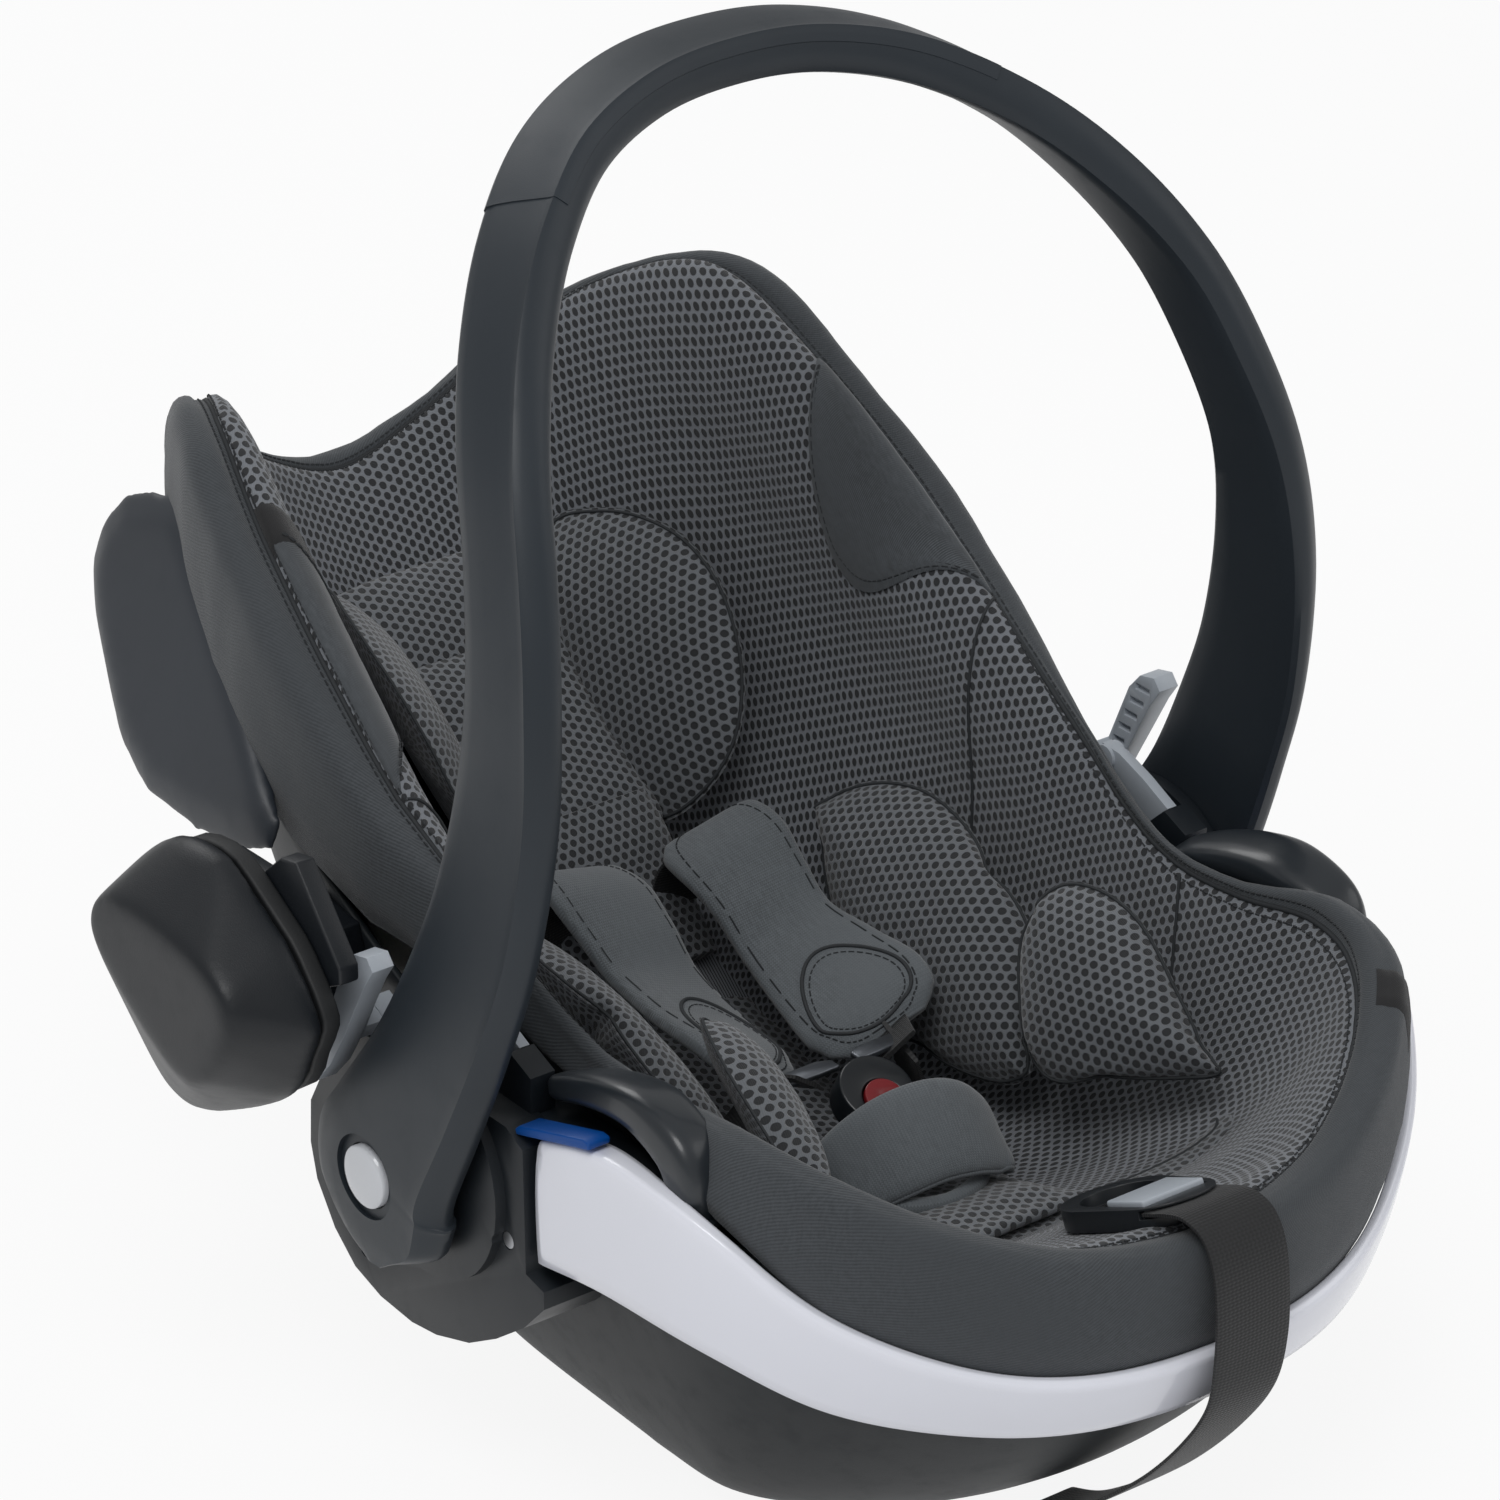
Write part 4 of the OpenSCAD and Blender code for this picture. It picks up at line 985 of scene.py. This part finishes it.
def makePillow(name, shape, side, body, *cadNodes):
    # A crowned main face, a band that turns back from its seam, and a closed back
    around, rings, backs = insert["around"], insert["rings"], insert["backs"]
    turn = Vector((side, 1, 1))
    outline = [Vector(p) * turn for p in shape["outline"]]
    face = (Vector(shape["face"]) * turn).normalized()
    edge = [Vector(curveAt(outline, k * len(outline) / around, True)) for k in range(around)]
    centre = sum(edge, Vector()) / around
    first = (edge[0] - centre).normalized()
    second = face.cross(first)
    points, uvs = [centre + face * shape["crown"]], [(0.0, 0.0)]
    for r in range(1, rings + 1):
        s = (r / rings) ** 0.85
        for p in edge:
            arm = (p - centre) * s
            points.append(centre + arm + face * shape["crown"] * (1 - s ** 2.6))
            uvs.append((arm.dot(first), arm.dot(second)))
    depths = [room(p, -face, shape["depth"]) for p in edge]
    depths = [sum(depths[(k + i) % around] for i in (-2, -1, 0, 1, 2)) / 5 for k in range(around)]
    for g in backs:
        shrink = 1 + 0.05 * math.sin(math.pi * g) - 0.22 * g * g
        for p, deep in zip(edge, depths):
            points.append(centre + (p - centre) * shrink - face * deep * g)
            uvs.append(None)
    last = len(points)
    points.append(centre - face * room(centre, -face, shape["depth"]))
    uvs.append(None)
    rim = [0.0]
    for k in range(around):
        rim.append(rim[-1] + (edge[(k + 1) % around] - edge[k]).length)
    faces, corners = [], []
    total = rings + len(backs)
    for k in range(around):
        j = (k + 1) % around
        faces.append((0, 1 + k, 1 + j))
        corners.append([uvs[0], uvs[1 + k], uvs[1 + j]])
        for r in range(total - 1):
            a, b = 1 + r * around, 1 + (r + 1) * around
            faces.append((a + k, b + k, b + j, a + j))
            if r < rings - 1:
                corners.append([uvs[a + k], uvs[b + k], uvs[b + j], uvs[a + j]])
            else:
                low = shape["depth"] * (0 if r == rings - 1 else backs[r - rings])
                high = shape["depth"] * backs[r - rings + 1]
                corners.append([(rim[k], low), (rim[k], high), (rim[k + 1], high), (rim[k + 1], low)])
        faces.append((1 + (total - 1) * around + k, last, 1 + (total - 1) * around + j))
        corners.append([(rim[k], 0), (rim[k] + 1, 9), (rim[k + 1], 0)])
    piece = newPiece(name, [p * mm for p in points], faces)
    layer = piece.data.uv_layers.new(name="UVMap")
    flat = [value * mm for corner in corners for uv in corner for value in uv]
    layer.data.foreach_set("uv", flat)
    tidyNormals(piece)
    inflate(piece, shape["cap"])
    seam = range(1 + (rings - 1) * around, 1 + rings * around)
    for k in seam:
        piece.data.vertices[k].co -= piece.data.vertices[k].normal * 1.8 * mm
    addModifier(piece, "SUBSURF", levels=1, render_levels=1)
    dress(piece, "mesh", body, "pad_fabric", *cadNodes)
    smooth(piece, 80)
    line = [(piece.data.vertices[k].co / mm, piece.data.vertices[k].normal.copy()) for k in seam]
    sew(tube(name + "Seam", raised(line, 0.5), 0.75, closed=True), body, "pad_fabric")


for side, name in ((-1, "left"), (1, "right")):
    pads = insert["pads"]
    makePillow("torsoBolster_" + name, pads["torsoBolster"], side, "seat", "torso_bolster_" + name)
    makePillow("hipBolster_" + name, pads["hipBolster"], side, "seat", "hip_bolster_" + name)
    makePillow("headBolster_" + name, pads["headBolster"], side, "headrest")
print("bolsters made")


def softCopy(nodeName, name, body, voxel, cap, shrink, reach=None):
    # A pad from its solid, cut to a width each side: voxel remesh, then air pressure in the cloth solver
    piece = cadCopy(nodeName, name, flat=0)
    if reach:
        bpy.ops.object.select_all(action="DESELECT")
        bpy.ops.mesh.primitive_cube_add(size=1, location=(0, 0.2, 0.2))
        block = bpy.context.object
        block.scale = (2 * reach * mm, 0.6, 0.6)
        addModifier(piece, "BOOLEAN", object=block, operation="INTERSECT", solver="EXACT")
        bpy.data.objects.remove(block, do_unlink=True)
    addModifier(piece, "REMESH", mode="VOXEL", voxel_size=voxel * mm)
    addModifier(piece, "SMOOTH", factor=0.5, iterations=8)
    for vertex, normal in zip(piece.data.vertices, [v.normal.copy() for v in piece.data.vertices]):
        vertex.co -= normal * shrink * mm
    inflate(piece, cap)
    addModifier(piece, "SUBSURF", levels=1, render_levels=1)
    layer = piece.data.uv_layers.new(name="UVMap")
    for loop in piece.data.loops:
        p = piece.data.vertices[loop.vertex_index].co
        layer.data[loop.index].uv = (p.x, p.y * 0.84 + p.z * 0.54)
    dress(piece, "mesh", body, "pad_fabric", nodeName)
    return smooth(piece, 80)


softCopy("head_cushion", "headCushion", "headrest", 4.0, 3, 1.0, 46)
softCopy("seat_pad", "seatPad", "seat", 4.0, 2.5, 1.5)


def makeRoll():
    # The front roll of the insert lies on the cover from hip to hip, with a stitched seam along its top
    half = insert["roll"]
    line = half + [(-x, y) for x, y in half[-2::-1]]
    widths = insert["rollWidth"] + insert["rollWidth"][-2::-1]
    path, axes = [], []
    for x, y in line:
        hit, normal = coverTree.ray_cast(Vector((x, y, insert["rollFrom"])) * mm, Vector((0, 0, -1)))[:2]
        path.append(tuple(hit / mm + normal * insert["rollLift"]))
        axes.append(normal)
    sides = []
    for k, normal in enumerate(axes):
        along = Vector(path[min(k + 1, len(path) - 1)]) - Vector(path[max(k - 1, 0)])
        sides.append(tuple(along.normalized().cross(normal)))
    piece = sweep("frontRoll", path, widths, sides, 120, profile(24, 2.2))
    dress(smooth(piece, 70), "mesh", "seat", "pad_fabric")
    seam = []
    for k in range(6, 235):
        centre, a, b, wide, thick = barFrame(path, widths, sides, k * (len(path) - 1) / 240)
        up = -b if b.z < 0 else b
        seam.append((centre + up * (thick / 2 - 0.2), up))
    sew(tube("frontRollSeam", seam, 0.8), "seat", "pad_fabric")


makeRoll()


headrest = {
    "boardFoot": (118, 119),
    "boardTilt": 39,
    # across the top: place along X, width and thickness
    "yoke": [(-78, 34, 10), (-56, 46, 12), (-28, 52, 13), (0, 52, 13), (28, 52, 13), (56, 46, 12),
             (78, 34, 10)],
    "yokeUp": 174,  # from the board's foot, along the board
    "yokeBack": 9.5,  # least distance in front of the board
    "searchFrom": 120,  # distance in front of the board from which the cover is sought
    "neck": [(152, 181), (143, 166), (133, 150), (120, 134), (105, 119)],
    "neckWidth": [(74, 16), (82, 24), (84, 26), (84, 24), (82, 16)],
}


def makeYoke():
    # A pad across the top of the headrest, in front of the board's handle
    tilt = math.radians(headrest["boardTilt"])
    along, front = Vector((0, math.cos(tilt), math.sin(tilt))), Vector((0, -math.sin(tilt), math.cos(tilt)))
    path, widths = [], []
    for x, wide, thick in headrest["yoke"]:
        foot = Vector((x, *headrest["boardFoot"])) + along * headrest["yokeUp"]
        hit = coverTree.ray_cast((foot + front * headrest["searchFrom"]) * mm, -front)[0]
        high = max((hit / mm - foot).dot(front), headrest["yokeBack"])
        path.append(tuple(foot + front * (high + thick / 2)))
        widths.append((wide, thick))
    piece = sweep("headYoke", path, widths, tuple(along), 70, profile(24, 2.1))
    dress(smooth(piece, 70), "mesh", "headrest", "pad_fabric")


def makeNeckPad():
    # Fills the gap between the head cushion and the shoulder pads
    path = [(0, y, z) for y, z in headrest["neck"]]
    piece = sweep("neckPad", path, headrest["neckWidth"], (1, 0, 0), 60, profile(28, 2.6))
    dress(smooth(piece, 70), "mesh", "headrest", "pad_fabric")


makeYoke()
makeNeckPad()
print("cushions made")


# ---- Harness ----
harness = {
    "pad": [(35, 107, 178), (35, 101, 180.5), (35, 86, 178), (35, 68, 168), (35, 48, 155), (35, 20, 148),
            (34, -6, 144), (33, -18, 140), (33, -24, 137)],
    "padWidth": [(40, 5), (52, 9), (55, 10), (50, 10), (48, 10), (56, 10), (62, 11), (54, 9), (38, 5)],
    "padSide": [(0.93, -0.22, 0.28), (0.95, -0.1, 0.22), (0.96, 0, 0.2), (0.92, 0, 0.38), (0.86, 0, 0.5),
                (0.84, 0, 0.54)],
    "strap": [(34, 117, 142), (34, 114, 160), (35, 106, 171), (35, 88, 172), (35, 68, 161), (35, 48, 148),
              (35, 20, 141), (34, -6, 137), (30, -24, 137), (24, -41, 140.5)],
    "strapWidth": [(34, 2), (34, 2), (34, 2), (34, 2), (34, 2), (34, 2), (34, 2), (34, 2), (26, 2), (20, 2)],
    "lap": [(31, -34, 138), (41, -27, 121), (51, -20, 104), (61, -13, 87)],
    "pull": [(0, -245.5, 168.5), (0, -253, 171.8), (0, -260.3, 175), (0, -270, 177.2), (0, -281, 174),
             (0, -288, 163), (0, -291, 145), (0, -291, 122), (-2, -288, 100), (-6, -276, 78), (-10, -256, 54),
             (-13, -230, 31), (-14, -206, 14), (-14, -188, 7)],
    "pullWidth": 38,
    "web": 2.0,
    "fold": [(-41, -76, 106), (-37, -82, 118), (-22, -91, 130), (-3, -95, 134), (14, -97, 131), (28, -97, 121),
             (32, -96, 110)],
    "foldWidth": [(24, 6), (36, 10), (42, 11), (43, 11), (42, 11), (36, 10), (24, 6)],
    "foldSide": (0, -0.72, -0.69),
    "under": [(-34, -90, 104), (-22, -102, 103), (-5, -108, 103), (12, -105, 104), (26, -96, 105)],
    "underWidth": [(14, 5), (20, 8), (20, 8), (20, 8), (14, 5)],
}


def mirrorPath(path, side):
    return [(side * p[0], p[1], p[2]) for p in path]


def padTop(path, widths, side, t, q, lift):
    centre, a, b, wide, thick = barFrame(path, widths, side, t)
    b = -b if b.z < 0 else b
    return centre + a * q * wide / 2 + b * (thick / 2 * (1 - abs(q) ** 3.2) ** (1 / 3.2) + lift), b


def makeShoulderPad(side, name):
    path, axes = mirrorPath(harness["pad"], side), mirrorPath(harness["padSide"], side)
    widths = harness["padWidth"]
    piece = sweep("shoulderPad_" + name, path, widths, axes, 90, profile(28, 3.2))
    dress(smooth(piece, 70), "pad", "seat", "pad_fabric", "shoulder_pad_" + name)
    edges, lobes, inner = [], [], []
    for k in range(160):
        angle = 2 * math.pi * k / 160
        c, s = math.cos(angle), math.sin(angle)
        q = math.copysign(abs(c) ** 0.35, c) * 0.84
        edges.append(padTop(path, widths, axes, 4.0 + 3.5 * math.copysign(abs(s) ** 0.8, s), q, 0.1))
        lobes.append(padTop(path, widths, axes, 6.0 + 1.25 * s, 0.74 * c, 0.15))
    for k in range(121):
        angle = 2 * math.pi * k / 120
        inner.append(padTop(path, widths, axes, 6.0 + 1.1 * math.sin(angle), 0.64 * math.cos(angle), 0.1))
    sew(stitches("shoulderPadStitch_" + name, edges + edges[:1], 0.4), "seat", "pad_fabric")
    sew(tube("shoulderPadLobe_" + name, lobes, 0.9, closed=True), "seat", "pad_fabric")
    sew(stitches("shoulderPadLobeStitch_" + name, inner, 0.35), "seat", "pad_fabric")


def makeStrap(name, path, widths, side, steps, *cadNodes):
    piece = sweep(name, path, widths, side, steps, profile(12, 7))
    return dress(smooth(piece, 60), "webbing", "seat", "webbing", *cadNodes)


for side, name in ((-1, "left"), (1, "right")):
    makeShoulderPad(side, name)
    makeStrap("shoulderStrap_" + name, mirrorPath(harness["strap"], side), harness["strapWidth"],
              mirrorPath(harness["padSide"], side), 90, "shoulder_strap_" + name)
    makeStrap("lapStrap_" + name, mirrorPath(harness["lap"], side), [(25, 2)] * 4, (0, 0.92, 0.38), 40,
              "lap_strap_" + name)
makeStrap("crotchStrap", [(0, -74, 109.4), (0, -73.5, 104), (0, -73, 98.3)], [(28, 2)] * 3, (1, 0, 0), 12,
          "crotch_strap")


def makeCrotchPad():
    # The pad folded over the buckle's strap, piped along one edge, with its under side
    path, widths, side = harness["fold"], harness["foldWidth"], harness["foldSide"]
    over = sweep("crotchPad", path, widths, side, 60, profile(24, 3.0))
    dress(smooth(over, 70), "pad", "seat", "pad_fabric", "crotch_pad")
    edge = []
    for k in range(101):
        centre, a, b, wide, thick = barFrame(path, widths, side, 0.3 + 5.4 * k / 100)
        edge.append((centre + a * (wide / 2 - 0.5), a))
    dress(tube("crotchPadPiping", edge, 1.6), "pad", "seat", "pad_fabric")
    under = sweep("crotchPadUnder", harness["under"], harness["underWidth"], (0, -0.4, 0.9), 40,
                  profile(16, 3.0))
    dress(smooth(under, 70), "pad", "seat", "pad_fabric")


def makePull():
    # The strap that tightens the harness: it gets narrower after its eighth place
    line, width, last = harness["pull"], harness["pullWidth"], len(harness["pull"]) - 1
    widths = [(width - 2 * max(0, k - 7), harness["web"]) for k in range(last + 1)]
    pull = makeStrap("adjusterStrap", line, widths, (1, 0, 0), 130, "adjuster_strap")
    path = [Vector(curveAt(line, last * k / 130)) * mm for k in range(131)]
    length = sum((b - a).length for a, b in zip(path, path[1:]))
    return length


makeCrotchPad()
pullLength = makePull()
print("harness made, pull strap", round(pullLength, 4), "m")

for name, finish in {
    "foam_liner": "foam", "front_lock_bar": "steel", "rear_lock_bar": "steel", "headrest_board": "black",
    "pivot_pin_left": "steel", "pivot_pin_right": "steel", "button_spring_left": "steel",
    "button_spring_right": "steel", "lever_spring_left": "steel", "lever_spring_right": "steel",
    "housing_screws": "steel", "base_screws": "steel",
}.items():
    for slot in nodes[name].material_slots:
        slot.material = finishes[finish]


# ---- Floor and studio ----
def makeFloorPaint():
    # White to the eye, with the object's shadow kept, and plain and matt for the light that it throws back
    material, shader, start = newFinish("floor_paint", Roughness=0.9)
    place = start.make("TexCoord", {}, outlet=3)
    cloud = start.make("TexNoise", {"Vector": place, "Scale": 3, "Detail": 3})
    feed(shader, cloud.colours((0.80, 0.80, 0.81, 1), (0.84, 0.84, 0.85, 1)), "Base Color")
    path = start.make("LightPath", {})
    seen = path + start.make("LightPath", {}, outlet=3) + start.make("LightPath", {}, outlet=6)
    glow = start.make("Emission", {"Color": (1, 1, 1, 1), "Strength": 1.0})
    share = seen.math("MINIMUM", seen, 1.0) * studio["floorGlow"]
    mixed = start.make("MixShader", {0: share, 1: start, 2: glow})
    output = material.node_tree.nodes["Material Output"]
    material.node_tree.links.new(mixed.socket, output.inputs["Surface"])
    return material


def addStudio():
    bpy.ops.mesh.primitive_plane_add(size=14, location=(0, 0, 0))
    floor = bpy.context.object
    floor.name = "floor"
    floor.data.materials.append(makeFloorPaint())
    world = bpy.context.scene.world or bpy.data.worlds.new("sky")
    bpy.context.scene.world = world
    world.use_nodes = True
    sky = world.node_tree.nodes["Background"]
    sky.inputs["Color"].default_value = (1, 1, 1, 1)
    sky.inputs["Strength"].default_value = studio["skyStrength"]
    for name, (place, size, power) in studio["lamps"].items():
        addLamp(name, place, size, power)


addStudio()
bpy.context.scene.view_settings.view_transform = "Standard"
print("scene ready")
